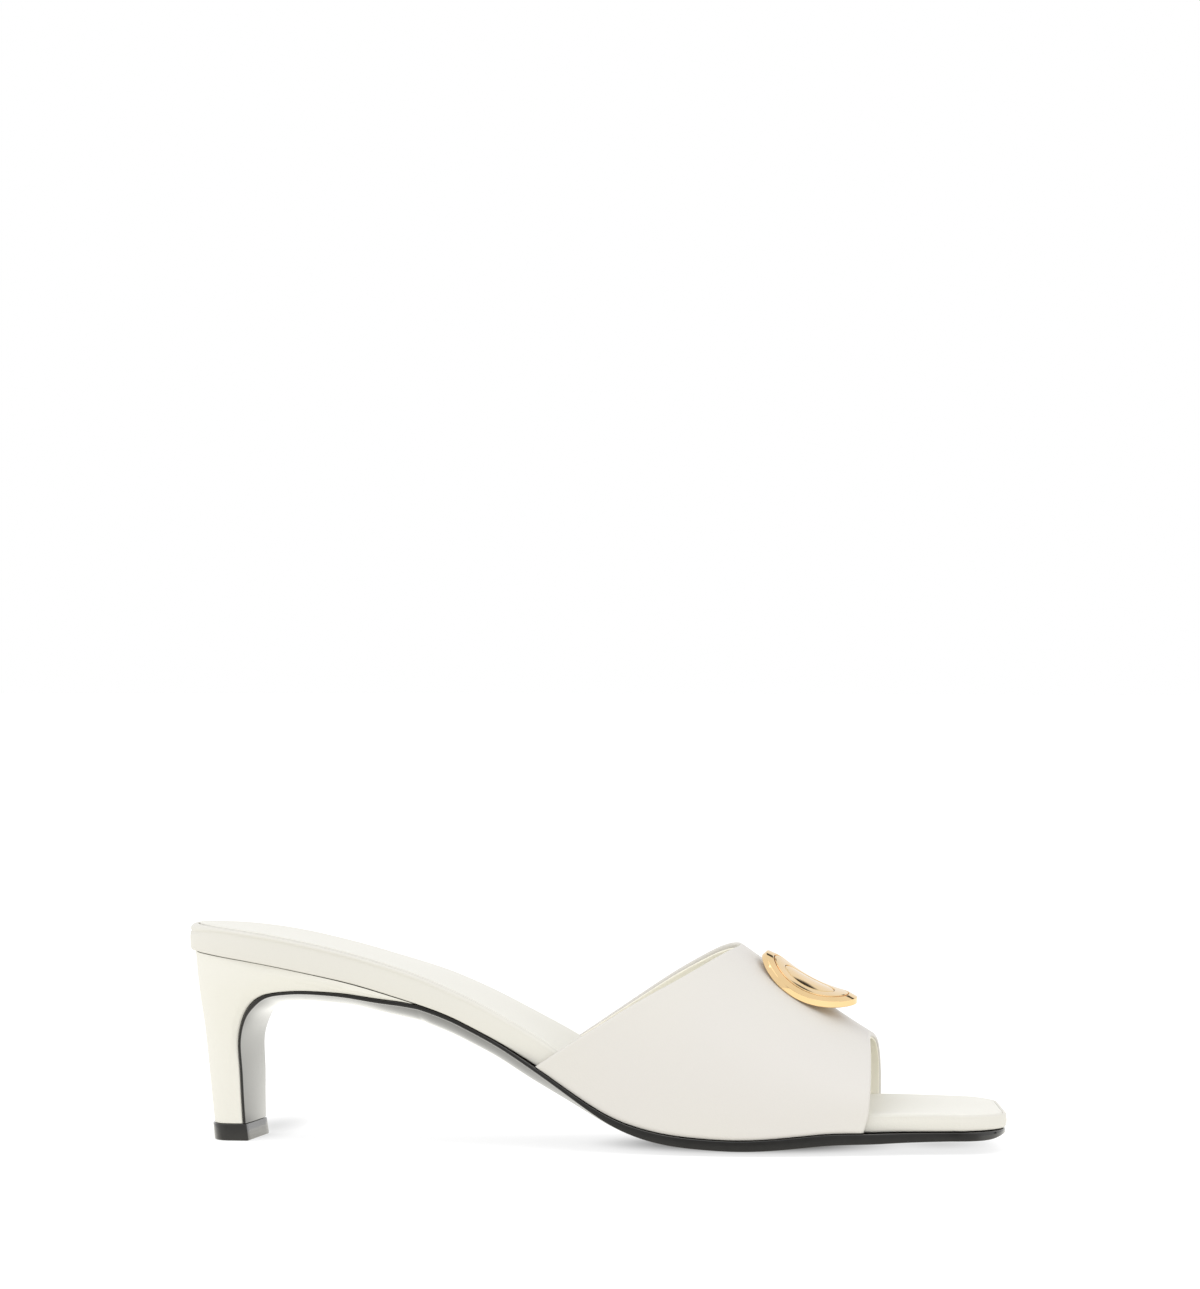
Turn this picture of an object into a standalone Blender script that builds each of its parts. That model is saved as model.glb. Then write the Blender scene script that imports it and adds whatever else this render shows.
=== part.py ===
"""Heeled mule with an open, square toe: right shoe, size 37, standing on its sole.

The toe points to +X, the outer (lateral) side of the foot to -Y, and up is +Z.
Sizes are in millimetres, measured from the back of the heel seat on the shoe's
centre line and from the ground. MM turns them into Blender's metres, and the
finished shoe is centred on the origin with its sole on z = 0.
"""
import math
from collections import namedtuple

import bpy
from mathutils import Matrix, Vector

MM = 0.001
GAP = 0.3                 # clearance between neighbouring pieces

# ---- plan of the footbed: half-widths either side of the centre line ----
SEAT_RADIUS = 26.0        # round back of the heel seat
SEAT_FIRST_ANGLE = math.radians(9.0)
PlanRow = namedtuple("PlanRow", "x lateral medial")
PLAN = (
    PlanRow(26.0, 26.0, 26.0),
    PlanRow(42.0, 24.9, 24.6),
    PlanRow(58.0, 23.9, 22.6),
    PlanRow(74.0, 24.0, 21.0),
    PlanRow(90.0, 25.2, 20.4),
    PlanRow(104.0, 27.7, 21.8),
    PlanRow(119.0, 31.5, 25.6),
    PlanRow(134.0, 35.2, 30.6),
    PlanRow(147.0, 37.5, 34.7),
    PlanRow(160.0, 38.4, 37.5),
    PlanRow(174.0, 37.5, 38.6),
    PlanRow(187.0, 35.1, 37.7),
    PlanRow(200.0, 31.8, 35.7),
    PlanRow(214.0, 28.4, 33.1),
    PlanRow(227.0, 25.5, 31.0),
)
# Square toe: the front edge is straight between two rounded corners.
Corner = namedtuple("Corner", "flank_x tip_x tip_y front_x front_y")
LATERAL_CORNER = Corner(229.0, 243.5, -23.2, 241.0, -8.0)
MEDIAL_CORNER = Corner(225.0, 234.6, 29.8, 236.6, 17.0)
CORNER_PULL = 0.58        # how far the corner curve's handles reach to the tip

# ---- side profile of the footbed: upper rim and underside ----
ProfileRow = namedtuple("ProfileRow", "x rim under")
PROFILE = (
    ProfileRow(0.0, 63.9, 56.2),
    ProfileRow(13.0, 62.7, 54.5),
    ProfileRow(26.0, 61.0, 52.5),
    ProfileRow(40.0, 58.3, 49.7),
    ProfileRow(54.0, 54.9, 46.5),
    ProfileRow(61.0, 52.9, 44.5),
    ProfileRow(68.0, 50.7, 42.4),
    ProfileRow(75.0, 48.2, 40.2),
    ProfileRow(82.0, 45.3, 37.6),
    ProfileRow(89.0, 42.2, 34.3),
    ProfileRow(96.0, 38.7, 30.8),
    ProfileRow(103.0, 35.0, 26.9),
    ProfileRow(110.0, 31.1, 22.7),
    ProfileRow(117.0, 26.6, 18.2),
    ProfileRow(124.0, 21.6, 13.9),
    ProfileRow(131.0, 17.1, 10.3),
    ProfileRow(138.0, 14.1, 7.9),
    ProfileRow(147.0, 12.0, 6.0),
    ProfileRow(157.0, 10.8, 5.0),
    ProfileRow(167.0, 10.2, 4.6),
    ProfileRow(177.0, 10.4, 5.0),
    ProfileRow(188.0, 11.3, 6.0),
    ProfileRow(200.0, 12.1, 6.9),
    ProfileRow(213.0, 12.2, 7.3),
    ProfileRow(227.0, 12.05, 7.3),
    ProfileRow(242.0, 11.7, 7.6),
)
# The rim and the underside lie lower on one side: in front of the vamp on the
# lateral one, along the heel seat on the medial one.
TOE_BANK = 0.7
TOE_BANK_RUN = (190.0, 208.0)
SEAT_BANK = 0.9
SEAT_BANK_RUN = (55.0, 84.0)
SEAT_HOLLOW = 0.8         # how far the footbed dishes under the heel of the foot
SEAT_HOLLOW_REACH = 42.0  # and how far the dish runs from its middle
# Rim of the footbed: share of its height, how far in from the outline.
RimRow = namedtuple("RimRow", "share inset")
FOOTBED_RIM = (RimRow(0.10, 0.15), RimRow(0.30, 0.0), RimRow(0.80, 0.0), RimRow(0.95, 0.35))
FOOTBED_BOTTOM_INSET = 0.8
LIP_INSET = 1.0           # crest of the wrapped lip around the insole
LIP_FALL = 0.25           # the lip's inner edge lies this much below its crest
RECESS_INSET = 1.5        # wall of the recess that takes the insole
RECESS_DEPTH = 1.3
INSOLE_INSET = RECESS_INSET + GAP
INSOLE_THICKNESS = 1.1

# ---- heel and the sole's flap down its breast: a row for each level ----
# x, z is the inner face of the flap. lateral, medial are its half-widths there.
# back_z is where the heel's section reaches the back line, body its widest
# half-width and turn the depth of its rounded back.
HeelRow = namedtuple("HeelRow", "x z lateral medial back_z body turn")
BREAST = (
    HeelRow(18.3, 5.1, 12.6, 12.6, 5.1, 12.4, 6.0),
    HeelRow(18.0, 12.7, 13.4, 13.4, 12.7, 13.2, 6.9),
    HeelRow(17.7, 22.0, 14.3, 14.3, 22.3, 14.3, 8.8),
    HeelRow(17.5, 29.5, 15.0, 15.0, 31.0, 15.6, 10.6),
    HeelRow(18.5, 34.1, 16.2, 16.2, 36.5, 17.2, 12.0),
    HeelRow(20.7, 38.5, 18.4, 18.4, 42.0, 19.6, 14.3),
    HeelRow(23.2, 41.2, 20.2, 20.2, 45.2, 21.3, 16.2),
    HeelRow(26.2, 42.9, 21.6, 21.3, 47.9, 22.6, 17.9),
    HeelRow(31.1, 43.9, 22.2, 21.8, 50.6, 23.6, 20.0),
    HeelRow(36.1, 44.3, 22.4, 21.8, 52.1, 24.2, 22.0),
    HeelRow(43.6, 44.2, 22.5, 21.6, 53.4, 24.6, 23.6),
    HeelRow(51.0, 43.7, 22.6, 21.3, 54.4, 24.8, 24.6),
    HeelRow(60.5, 42.4, 22.8, 21.0, 55.2, 25.0, 25.0),
    HeelRow(68.0, 41.5, 23.1, 20.6, 55.6, 25.0, 25.0),
    HeelRow(72.5, 40.7, 23.2, 20.3, 55.7, 25.0, 25.0),
)
HEEL_ROWS = BREAST[:-2]         # the rows that the heel's body reaches
BREAST_TURN = 33.0              # above this height the breast turns forward under the shank
HEEL_BACK_LOW = (7.7, 5.1)      # x, z of the heel's back line above the top lift
HEEL_BACK_HIGH = (2.4, 55.8)    # and where it meets the footbed
HEEL_TOP_FRONT = 64.0           # the heel runs out to a thin edge under the footbed
HEEL_STEP = 0.1                 # its sections keep this much below the ring of the top
HEEL_TOP_INSET = 1.2            # the footbed overhangs the heel by this much
BACK_ROUNDNESS = 2.3            # exponent of the rounded back, 2 is an ellipse
HEEL_BACK_STEPS = 9
HEEL_SIDE_STEPS = 4
HEEL_FRONT_STEPS = 4
LIFT_HEIGHT = BREAST[0].z - GAP
LIFT_TOP = (7.2, 19.2, 12.6)    # back x, front x, half-width
LIFT_FOOT = (7.7, 19.9, 12.6)
# The lower heel stands slightly turned, its medial side further forward.
TWIST = 0.03
TWIST_EDGE = -18.0
TWIST_FADE = (33.0, 44.0)

# ---- outsole: how far it reaches past the footbed, and its thickness ----
SoleRow = namedtuple("SoleRow", "x reach edge belly")
SOLE = (
    SoleRow(17.0, -0.8, 0.6, 0.1),
    SoleRow(19.5, -0.8, 0.85, 0.8),
    SoleRow(22.0, -0.8, 1.25, 1.5),
    SoleRow(26.0, -0.8, 1.0, 2.2),
    SoleRow(33.0, -0.8, 0.75, 2.8),
    SoleRow(40.0, -0.8, 0.8, 3.2),
    SoleRow(54.0, -0.8, 1.1, 3.6),
    SoleRow(68.0, -0.8, 1.2, 4.7),
    SoleRow(76.0, -0.7, 1.15, 5.2),
    SoleRow(88.0, -0.3, 1.05, 5.4),
    SoleRow(96.0, 0.2, 1.05, 5.4),
    SoleRow(108.0, 2.0, 1.1, 5.5),
    SoleRow(120.0, 2.5, 1.2, 4.3),
    SoleRow(131.0, 2.5, 1.9, 3.2),
    SoleRow(139.0, 2.5, 2.5, 2.5),
    SoleRow(147.0, 2.5, 2.8, 2.1),
    SoleRow(160.0, 2.5, 2.9, 1.8),
    SoleRow(176.0, 2.5, 3.05, 1.5),
    SoleRow(190.0, 2.5, 3.1, 1.2),
    SoleRow(204.0, 2.0, 2.95, 0.9),
    SoleRow(214.0, 1.0, 2.75, 0.7),
    SoleRow(230.0, 0.5, 2.5, 0.5),
    SoleRow(236.0, 0.3, 2.5, 0.4),
    SoleRow(239.5, 0.0, 1.95, 0.3),
    SoleRow(242.0, -0.3, 0.7, 0.2),
)
BELLY_ROUNDNESS = 2.0
SHANK_START = BREAST[-1].x + 1.0    # the sole follows the footbed's outline from here on
FLAP_BANK_START = 50.0    # and from here on the flap leans with the footbed
TREAD_LEVEL = 0.0         # the belly of the forepart is worn flat on the ground

# ---- vamp: height of its inner ridge over the foot ----
RidgeRow = namedtuple("RidgeRow", "x z")
RIDGE = (
    RidgeRow(100.0, 98.5),
    RidgeRow(120.0, 85.3),
    RidgeRow(137.0, 74.0),
    RidgeRow(150.0, 65.2),
    RidgeRow(163.0, 55.8),
    RidgeRow(176.0, 46.8),
    RidgeRow(188.0, 38.6),
    RidgeRow(200.0, 30.8),
    RidgeRow(208.0, 26.2),
)
RIDGE_Y = 3.0             # the ridge lies towards the big toe
WALL = 2.0                # leather, lining and padding together
ROUND_LATERAL = 2.0       # exponents of the arch, 2 is an ellipse
ROUND_MEDIAL = 2.25
# Throat line seen from the side, from the sole up to the ridge.
THROAT = (
    RidgeRow(100.0, 19.0),
    RidgeRow(108.3, 24.4),
    RidgeRow(120.8, 32.6),
    RidgeRow(131.0, 39.1),
    RidgeRow(141.0, 45.2),
    RidgeRow(150.0, 50.3),
    RidgeRow(157.0, 54.6),
    RidgeRow(163.0, 58.0),
    RidgeRow(172.0, 60.6),
)
# How much higher the inner side's throat is cut, from the ridge, at 0, to its foot, at 1.
EdgeRow = namedtuple("EdgeRow", "x offset")
RISE = (
    EdgeRow(0.0, 0.0), EdgeRow(0.15, 1.2), EdgeRow(0.3, 2.9), EdgeRow(0.45, 4.0),
    EdgeRow(0.6, 4.1), EdgeRow(0.8, 3.4), EdgeRow(1.0, 2.6),
)
# Front edge: its place at the ridge, and how far it reaches past that round the vamp,
# from the lateral foot, at 0, to the medial one, at 1.
FRONT_X = 200.8
FRONT = (
    EdgeRow(0.0, 3.1), EdgeRow(0.09, 3.44), EdgeRow(0.18, 3.24), EdgeRow(0.3, 2.35),
    EdgeRow(0.4, 1.2), EdgeRow(0.5, 0.1), EdgeRow(0.6, 0.2), EdgeRow(0.7, 0.2),
    EdgeRow(0.85, -0.1), EdgeRow(1.0, -0.35),
)
FRONT_TUCK = 1.4          # at the sole the edge draws back beside the footbed
VAMP_STEPS_LONG = 15
VAMP_STEPS_ROUND = 38

# ---- gold oval on the ridge ----
ORNAMENT_X = 181.8        # centre, along the shoe and across it
ORNAMENT_Y = -1.2
ORNAMENT_HALF_LENGTH = 15.65
ORNAMENT_HALF_WIDTH = 12.2
ORNAMENT_PITCH = math.radians(7.2)  # the front end is raised from the slope of the leather
ORNAMENT_TILT = math.radians(6.4)   # and the plate leans to the lateral side
ORNAMENT_SAG = 3.5        # depth of the bow along the plate
ORNAMENT_DROOP = 1.0      # and of the opposite bend across it
ORNAMENT_SIDES = 48
# Turned profile: share of the oval's radius, height over the leather.
OvalRow = namedtuple("OvalRow", "radius height")
OVAL = (
    OvalRow(0.20, 0.55), OvalRow(0.40, 0.55), OvalRow(0.42, 1.00), OvalRow(0.95, 1.25),
    OvalRow(1.00, 1.45), OvalRow(1.00, 2.25), OvalRow(0.875, 3.20), OvalRow(0.85, 3.10),
    OvalRow(0.845, 2.80), OvalRow(0.82, 2.80), OvalRow(0.815, 3.25), OvalRow(0.79, 3.35),
    OvalRow(0.59, 3.40), OvalRow(0.565, 3.25), OvalRow(0.56, 2.95), OvalRow(0.54, 2.95),
    OvalRow(0.535, 3.25), OvalRow(0.50, 3.40), OvalRow(0.25, 3.60),
)
ORNAMENT_CROWN = 0.05     # the middle of the boss stands this much over its last row

Finish = namedtuple("Finish", "name colour roughness metallic")
IVORY = Finish("ivory_leather", (0.86, 0.83, 0.74), 0.42, 0.0)
CREAM = Finish("cream_insole", (0.90, 0.88, 0.80), 0.50, 0.0)
BLACK = Finish("black_sole", (0.02, 0.02, 0.02), 0.25, 0.0)
RUBBER = Finish("black_lift", (0.03, 0.03, 0.03), 0.45, 0.0)
GOLD = Finish("pale_gold", (0.90, 0.72, 0.42), 0.15, 1.0)

FLANK_STEPS = 26
SEAT_STEPS = 8
CORNER_STEPS = 6
ACROSS_STEPS = 8
BREAST_STEPS_PER_ROW = 2
HALVINGS = 30             # steps of a search by halving


# ------------------------------------------------------------------ curves
def smooth(rows, column, x):
    """Height of a smooth curve through one column of a table whose rows rise in x."""
    last = len(rows) - 1
    k = 0
    while k < last - 1 and x > rows[k + 1].x:
        k += 1

    def slope(i):
        a, b = rows[max(i - 1, 0)], rows[min(i + 1, last)]
        return (getattr(b, column) - getattr(a, column)) / (b.x - a.x)

    here, there = rows[k], rows[k + 1]
    span = there.x - here.x
    t = min(max((x - here.x) / span, 0.0), 1.0)
    h = 3.0 * t * t - 2.0 * t * t * t
    return ((1.0 - h) * getattr(here, column) + h * getattr(there, column)
            + span * t * (1.0 - t) * ((1.0 - t) * slope(k) - t * slope(k + 1)))


def soft_step(low, high, x):
    """Soft step from 0 at low to 1 at high."""
    t = min(max((x - low) / (high - low), 0.0), 1.0)
    return t * t * (3.0 - 2.0 * t)


def bank(x, v):
    """How much lower the footbed lies at a share v of its half-width."""
    toe = TOE_BANK * soft_step(*TOE_BANK_RUN, x)
    seat = SEAT_BANK * (1.0 - soft_step(*SEAT_BANK_RUN, x))
    from_middle = 1.0 - min(x, SEAT_RADIUS) / SEAT_RADIUS
    round_width = math.sqrt(max(1.0 - from_middle ** 2, 0.0))
    return 0.5 * (toe * (1.0 - v) + seat * (1.0 + v * round_width))


def rim_z(x, v=0.0):
    """Height of the footbed's rim."""
    return smooth(PROFILE, "rim", x) - bank(x, v)


def under_z(x, v=0.0):
    """Height of the footbed's underside."""
    return smooth(PROFILE, "under", x) - bank(x, v)


def share_across(x, y):
    """Share of the footbed's half-width at which a point of the heel lies."""
    if x < SEAT_RADIUS:
        half = math.sqrt(max(SEAT_RADIUS ** 2 - (SEAT_RADIUS - x) ** 2, 1.0))
    else:
        half = smooth(PLAN, "lateral" if y < 0.0 else "medial", x)
    return min(max(y / half, -1.0), 1.0)


def turned(x, y, z):
    """Point of the heel in its turned place."""
    return (x + TWIST * (y - TWIST_EDGE) * (1.0 - soft_step(*TWIST_FADE, z)), y, z)


def crossing(rows, is_before):
    """The x where is_before(x) turns false between a table's first and last row."""
    low, high = rows[0].x, rows[-1].x
    for _ in range(HALVINGS):
        middle = 0.5 * (low + high)
        if is_before(middle):
            low = middle
        else:
            high = middle
    return low


def bezier(start, tip, end, steps):
    """Corner curve from start to end that is pulled towards tip."""
    near = start.lerp(tip, CORNER_PULL)
    far = end.lerp(tip, CORNER_PULL)
    curve = []
    for k in range(1, steps + 1):
        t = k / steps
        a, b, c = start.lerp(near, t), near.lerp(far, t), far.lerp(end, t)
        curve.append(a.lerp(b, t).lerp(b.lerp(c, t), t))
    return curve


def side_outline(sign, column, corner):
    """One side of the footbed's outline, from the back of the seat to the toe's front."""
    points = []
    for k in range(SEAT_STEPS):
        angle = SEAT_FIRST_ANGLE + (math.pi / 2 - SEAT_FIRST_ANGLE) * k / SEAT_STEPS
        points.append(Vector((SEAT_RADIUS - SEAT_RADIUS * math.cos(angle),
                              sign * SEAT_RADIUS * math.sin(angle))))
    for k in range(FLANK_STEPS + 1):
        x = SEAT_RADIUS + (corner.flank_x - SEAT_RADIUS) * k / FLANK_STEPS
        points.append(Vector((x, sign * smooth(PLAN, column, x))))
    points += bezier(points[-1], Vector((corner.tip_x, corner.tip_y)),
                     Vector((corner.front_x, corner.front_y)), CORNER_STEPS)
    return points


def grown(points, sign, reach):
    """The side outline moved outwards by reach(x), square to itself."""
    moved = []
    last = len(points) - 1
    for k, point in enumerate(points):
        along = (points[min(k + 1, last)] - points[max(k - 1, 0)]).normalized()
        outwards = Vector((-along.y, along.x)) * sign
        moved.append(point + outwards * reach(point.x))
    return moved


def plan_ladder(reach, start_x=None):
    """Rungs across the outline grown by reach(x), from the seat to the toe.

    Each rung is a list of (x, y, v) with v from -1 on the lateral edge to 1.
    """
    lateral = grown(side_outline(-1, "lateral", LATERAL_CORNER), -1, reach)
    medial = grown(side_outline(1, "medial", MEDIAL_CORNER), 1, reach)
    rungs = []
    for outer, inner in zip(lateral, medial):
        if start_x is not None and min(outer.x, inner.x) <= start_x:
            continue
        rung = []
        for j in range(ACROSS_STEPS + 1):
            point = outer.lerp(inner, j / ACROSS_STEPS)
            rung.append((point.x, point.y, 2.0 * j / ACROSS_STEPS - 1.0))
        rungs.append(rung)
    return rungs


# ------------------------------------------------------------------ solids
def border(rows):
    """The points round the edge of a grid, in order."""
    last = len(rows) - 1
    return ([rows[i][0] for i in range(last)] + list(rows[last][:-1])
            + [rows[i][-1] for i in range(last, 0, -1)] + list(reversed(rows[0][1:])))


def closed_solid(top, rings, bottom):
    """Vertices and faces of a solid: a grid above and one below, joined by border rings."""
    vertices = []
    faces = []

    def place(points):
        first = len(vertices)
        vertices.extend(points)
        return list(range(first, len(vertices)))

    top_ids = [place(row) for row in top]
    ring_ids = [place(ring) for ring in rings]
    bottom_ids = [place(row) for row in bottom]
    for ids, flip in ((top_ids, False), (bottom_ids, True)):
        for near, far in zip(ids, ids[1:]):
            for j in range(len(near) - 1):
                face = (near[j], far[j], far[j + 1], near[j + 1])
                faces.append(face[::-1] if flip else face)
    loops = [border(bottom_ids)] + ring_ids + [border(top_ids)]
    for low, high in zip(loops, loops[1:]):
        for k in range(len(low)):
            after = (k + 1) % len(low)
            faces.append((low[k], low[after], high[after], high[k]))
    return vertices, faces


def ring_solid(rings, low_centre, high_centre):
    """Vertices and faces of a solid lofted through closed rings, with a fan at each end."""
    count = len(rings[0])
    vertices = [point for ring in rings for point in ring] + [low_centre, high_centre]
    faces = []
    for level in range(len(rings) - 1):
        for k in range(count):
            after = (k + 1) % count
            low, high = level * count, (level + 1) * count
            faces.append((low + k, low + after, high + after, high + k))
    low_hub, high_hub = len(vertices) - 2, len(vertices) - 1
    top = (len(rings) - 1) * count
    for k in range(count):
        after = (k + 1) % count
        faces.append((low_hub, after, k))
        faces.append((high_hub, top + k, top + after))
    return vertices, faces


def make_material(finish):
    """Principled material with the piece's plain colour and gloss."""
    material = bpy.data.materials.new(finish.name)
    material.use_nodes = True
    shader = material.node_tree.nodes["Principled BSDF"]
    shader.inputs["Base Color"].default_value = (*finish.colour, 1.0)
    shader.inputs["Roughness"].default_value = finish.roughness
    shader.inputs["Metallic"].default_value = finish.metallic
    return material


def add_piece(name, solid, finish):
    """Named object from a solid in millimetres."""
    vertices, faces = solid
    mesh = bpy.data.meshes.new(name)
    mesh.from_pydata([tuple(c * MM for c in vertex) for vertex in vertices], [], faces)
    mesh.shade_smooth()
    mesh.set_sharp_from_angle(angle=math.radians(40.0))
    mesh.materials.append(make_material(finish))
    piece = bpy.data.objects.new(name, mesh)
    bpy.context.scene.collection.objects.link(piece)
    return piece


# ------------------------------------------------------------------ footbed
def seat_dish(x, v):
    """Depth of the shallow hollow that the heel of the foot rests in."""
    along = max(0.0, 1.0 - ((x - SEAT_RADIUS) / SEAT_HOLLOW_REACH) ** 2)
    return SEAT_HOLLOW * along * (1.0 - v * v)


def footbed():
    """Wrapped footbed: rounded rim, flat underside, recess in the top for the insole."""
    def level(point, share):
        x, y, v = point
        return (x, y, under_z(x, v) + share * (rim_z(x, v) - under_z(x, v)))

    def ring(inset, share, drop=0.0):
        points = border(plan_ladder(lambda x: -inset))
        return [(x, y, z - drop) for x, y, z in (level(point, share) for point in points)]

    floor = [[(x, y, rim_z(x, v) - RECESS_DEPTH - seat_dish(x, v))
              for x, y, v in rung] for rung in plan_ladder(lambda x: -RECESS_INSET)]
    base = [[level(point, 0.0) for point in rung]
            for rung in plan_ladder(lambda x: -FOOTBED_BOTTOM_INSET)]
    rings = [ring(row.inset, row.share) for row in FOOTBED_RIM]
    rings.append(ring(LIP_INSET, 1.0))
    rings.append(ring(RECESS_INSET, 1.0, drop=LIP_FALL))
    return closed_solid(floor, rings, base)


def insole():
    """Sock pad that fills the recess of the footbed."""
    def surface(lift):
        return [[(x, y, rim_z(x, v) - RECESS_DEPTH - seat_dish(x, v) + lift)
                 for x, y, v in rung] for rung in plan_ladder(lambda x: -INSOLE_INSET)]
    return closed_solid(surface(GAP + INSOLE_THICKNESS), [], surface(GAP))


# ------------------------------------------------------------------ outsole
def sole_offset(x, v):
    """Thickness of the outsole at a share v of its half-width."""
    return smooth(SOLE, "edge", x) + smooth(SOLE, "belly", x) * (1.0 - abs(v) ** BELLY_ROUNDNESS)


def row_between(rows, k, t):
    """Row at share t between rows k and k + 1, on a smooth curve through the table."""
    before, here = rows[max(k - 1, 0)], rows[k]
    there, after = rows[k + 1], rows[min(k + 2, len(rows) - 1)]

    def blend(a, b, c, d):
        return 0.5 * (2.0 * b + (c - a) * t + (2.0 * a - 5.0 * b + 4.0 * c - d) * t * t
                      + (3.0 * b - a - 3.0 * c + d) * t * t * t)
    return HeelRow(*(blend(*values) for values in zip(before, here, there, after)))


def breast_stations():
    """Points along the flap: position, forward direction and half-widths, from its foot."""
    stations = []
    last = len(BREAST) - 1
    for k in range(last):
        for step in range(BREAST_STEPS_PER_ROW):
            stations.append(row_between(BREAST, k, step / BREAST_STEPS_PER_ROW))
    stations.append(BREAST[last])
    return stations


def outsole():
    """Sole from the toe to the shank, carried on as a flap down the breast of the heel."""
    inner_rows = []
    outer_rows = []
    stations = breast_stations()
    last = len(stations) - 1
    for k, station in enumerate(stations):
        low, high = stations[max(k - 1, 0)], stations[min(k + 1, last)]
        along = Vector((high.x - low.x, high.z - low.z)).normalized()
        outwards = Vector((along.y, -along.x))
        inner, outer = [], []
        for j in range(ACROSS_STEPS + 1):
            v = 2.0 * j / ACROSS_STEPS - 1.0
            y = v * (station.lateral if v < 0.0 else station.medial)
            depth = outwards * sole_offset(station.x, v)
            lean = bank(station.x, v) * soft_step(FLAP_BANK_START, SHANK_START, station.x)
            x, y, z = turned(station.x, y, station.z - lean)
            inner.append((x, y, z))
            outer.append((x + depth.x, y, z + depth.y))
        inner_rows.append(inner)
        outer_rows.append(outer)
    for rung in plan_ladder(lambda x: smooth(SOLE, "reach", x), start_x=SHANK_START):
        inner, outer = [], []
        for x, y, v in rung:
            rise = under_z(x + 0.5) - under_z(x - 0.5)
            z = under_z(x, v) - GAP
            outwards = Vector((rise, -1.0)).normalized() * sole_offset(x, v)
            inner.append((x, y, z))
            outer.append((x + outwards.x, y, max(z + outwards.y, TREAD_LEVEL)))
        inner_rows.append(inner)
        outer_rows.append(outer)
    return closed_solid(inner_rows, [], outer_rows)


# ------------------------------------------------------------------ heel
def back_x(z):
    """The heel's straight back line."""
    (low_x, low_z), (high_x, high_z) = HEEL_BACK_LOW, HEEL_BACK_HIGH
    return low_x + (high_x - low_x) * (z - low_z) / (high_z - low_z)


def heel_ring(back, front, body, front_lateral, front_medial, turn):
    """D-shaped section: (x, y, share of the chord), round at the back, straight in front."""
    chord = front - back

    def half(share, front_half):
        depth = share * chord
        if depth < turn:
            return body * (1.0 - (1.0 - depth / turn) ** BACK_ROUNDNESS) ** (1.0 / BACK_ROUNDNESS)
        return body + (front_half - body) * (depth - turn) / (chord - turn)

    shares = [turn / chord * (1.0 - math.cos(math.pi / 2 * k / HEEL_BACK_STEPS))
              for k in range(HEEL_BACK_STEPS + 1)]
    shares += [turn / chord + (1.0 - turn / chord) * k / HEEL_SIDE_STEPS
               for k in range(1, HEEL_SIDE_STEPS + 1)]
    lateral = [(back + s * chord, -half(s, front_lateral), s) for s in shares]
    medial = [(back + s * chord, half(s, front_medial), s) for s in shares[1:]]
    across = [(front, -front_lateral + (front_lateral + front_medial) * k / HEEL_FRONT_STEPS, 1.0)
              for k in range(1, HEEL_FRONT_STEPS)]
    return lateral + across + medial[::-1]


def heel():
    """Block that sweeps from the narrow tip up under the footbed and along the shank."""
    rings = []
    for row in HEEL_ROWS:
        start = back_x(row.back_z)
        front_half = (row.lateral - GAP, row.medial - GAP)
        ring = heel_ring(start, row.x - GAP, row.body, *front_half, row.turn)
        lift = 0.0 if row.z < BREAST_TURN else GAP
        swept = [turned(x, y, row.back_z + s * (row.z + lift - row.back_z)) for x, y, s in ring]
        rings.append([(x, y, min(z, under_z(x, share_across(x, y)) - GAP - HEEL_STEP)) for x, y, z in swept])
    top = HEEL_ROWS[-1]
    half = SEAT_RADIUS - HEEL_TOP_INSET
    ring = heel_ring(HEEL_BACK_HIGH[0], HEEL_TOP_FRONT, half, top.lateral, top.medial, half)
    rings.append([(x, y, under_z(x, share_across(x, y)) - GAP) for x, y, _ in ring])
    tip = BREAST[0]
    middle = 0.5 * (HEEL_BACK_LOW[0] + tip.x)
    return ring_solid(rings, (middle, 0.0, tip.z), (SEAT_RADIUS, 0.0, under_z(SEAT_RADIUS) - GAP))


def top_lift():
    """Replaceable rubber tip of the heel, a little smaller at the ground."""
    rings = []
    for (start, front, half), z in ((LIFT_FOOT, 0.0), (LIFT_TOP, LIFT_HEIGHT)):
        ring = heel_ring(start, front, half, half, half, BREAST[0].turn)
        rings.append([turned(x, y, z) for x, y, _ in ring])
    middle = 0.5 * (LIFT_FOOT[0] + LIFT_FOOT[1])
    return ring_solid(rings, (middle, 0.0, 0.0), (middle, 0.0, LIFT_HEIGHT))


# ------------------------------------------------------------------ upper
def vamp_point(x, turn, out):
    """Point of the vamp: turn runs from 0 at the lateral foot to 1 at the medial one.

    out is the distance outwards from the lining. The wall rises straight beside
    the footbed and arches over from the height of its rim.
    """
    angle = math.pi * turn
    lateral = turn < 0.5
    roundness = ROUND_LATERAL if lateral else ROUND_MEDIAL
    across = abs(math.cos(angle)) ** (2.0 / roundness)
    up = math.sin(angle) ** (2.0 / roundness) if 0.0 < turn < 1.0 else 0.0
    if lateral:
        y = RIDGE_Y - (smooth(PLAN, "lateral", x) + GAP + out + RIDGE_Y) * across
    else:
        y = RIDGE_Y + (smooth(PLAN, "medial", x) + GAP + out - RIDGE_Y) * across
    rim = rim_z(x, -math.cos(angle))
    return (x, y, rim + (smooth(RIDGE, "z", x) + out - rim) * up)


def throat_z(x, turn):
    """Height of the throat line at this turn, seen from the side."""
    rise = 0.0 if turn < 0.5 else smooth(RISE, "offset", 2.0 * turn - 1.0)
    return smooth(THROAT, "z", x) + rise


def throat_x(turn):
    """Where the throat line crosses the vamp at this turn."""
    return crossing(THROAT, lambda x: vamp_point(x, turn, WALL)[2] > throat_z(x, turn))


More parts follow.
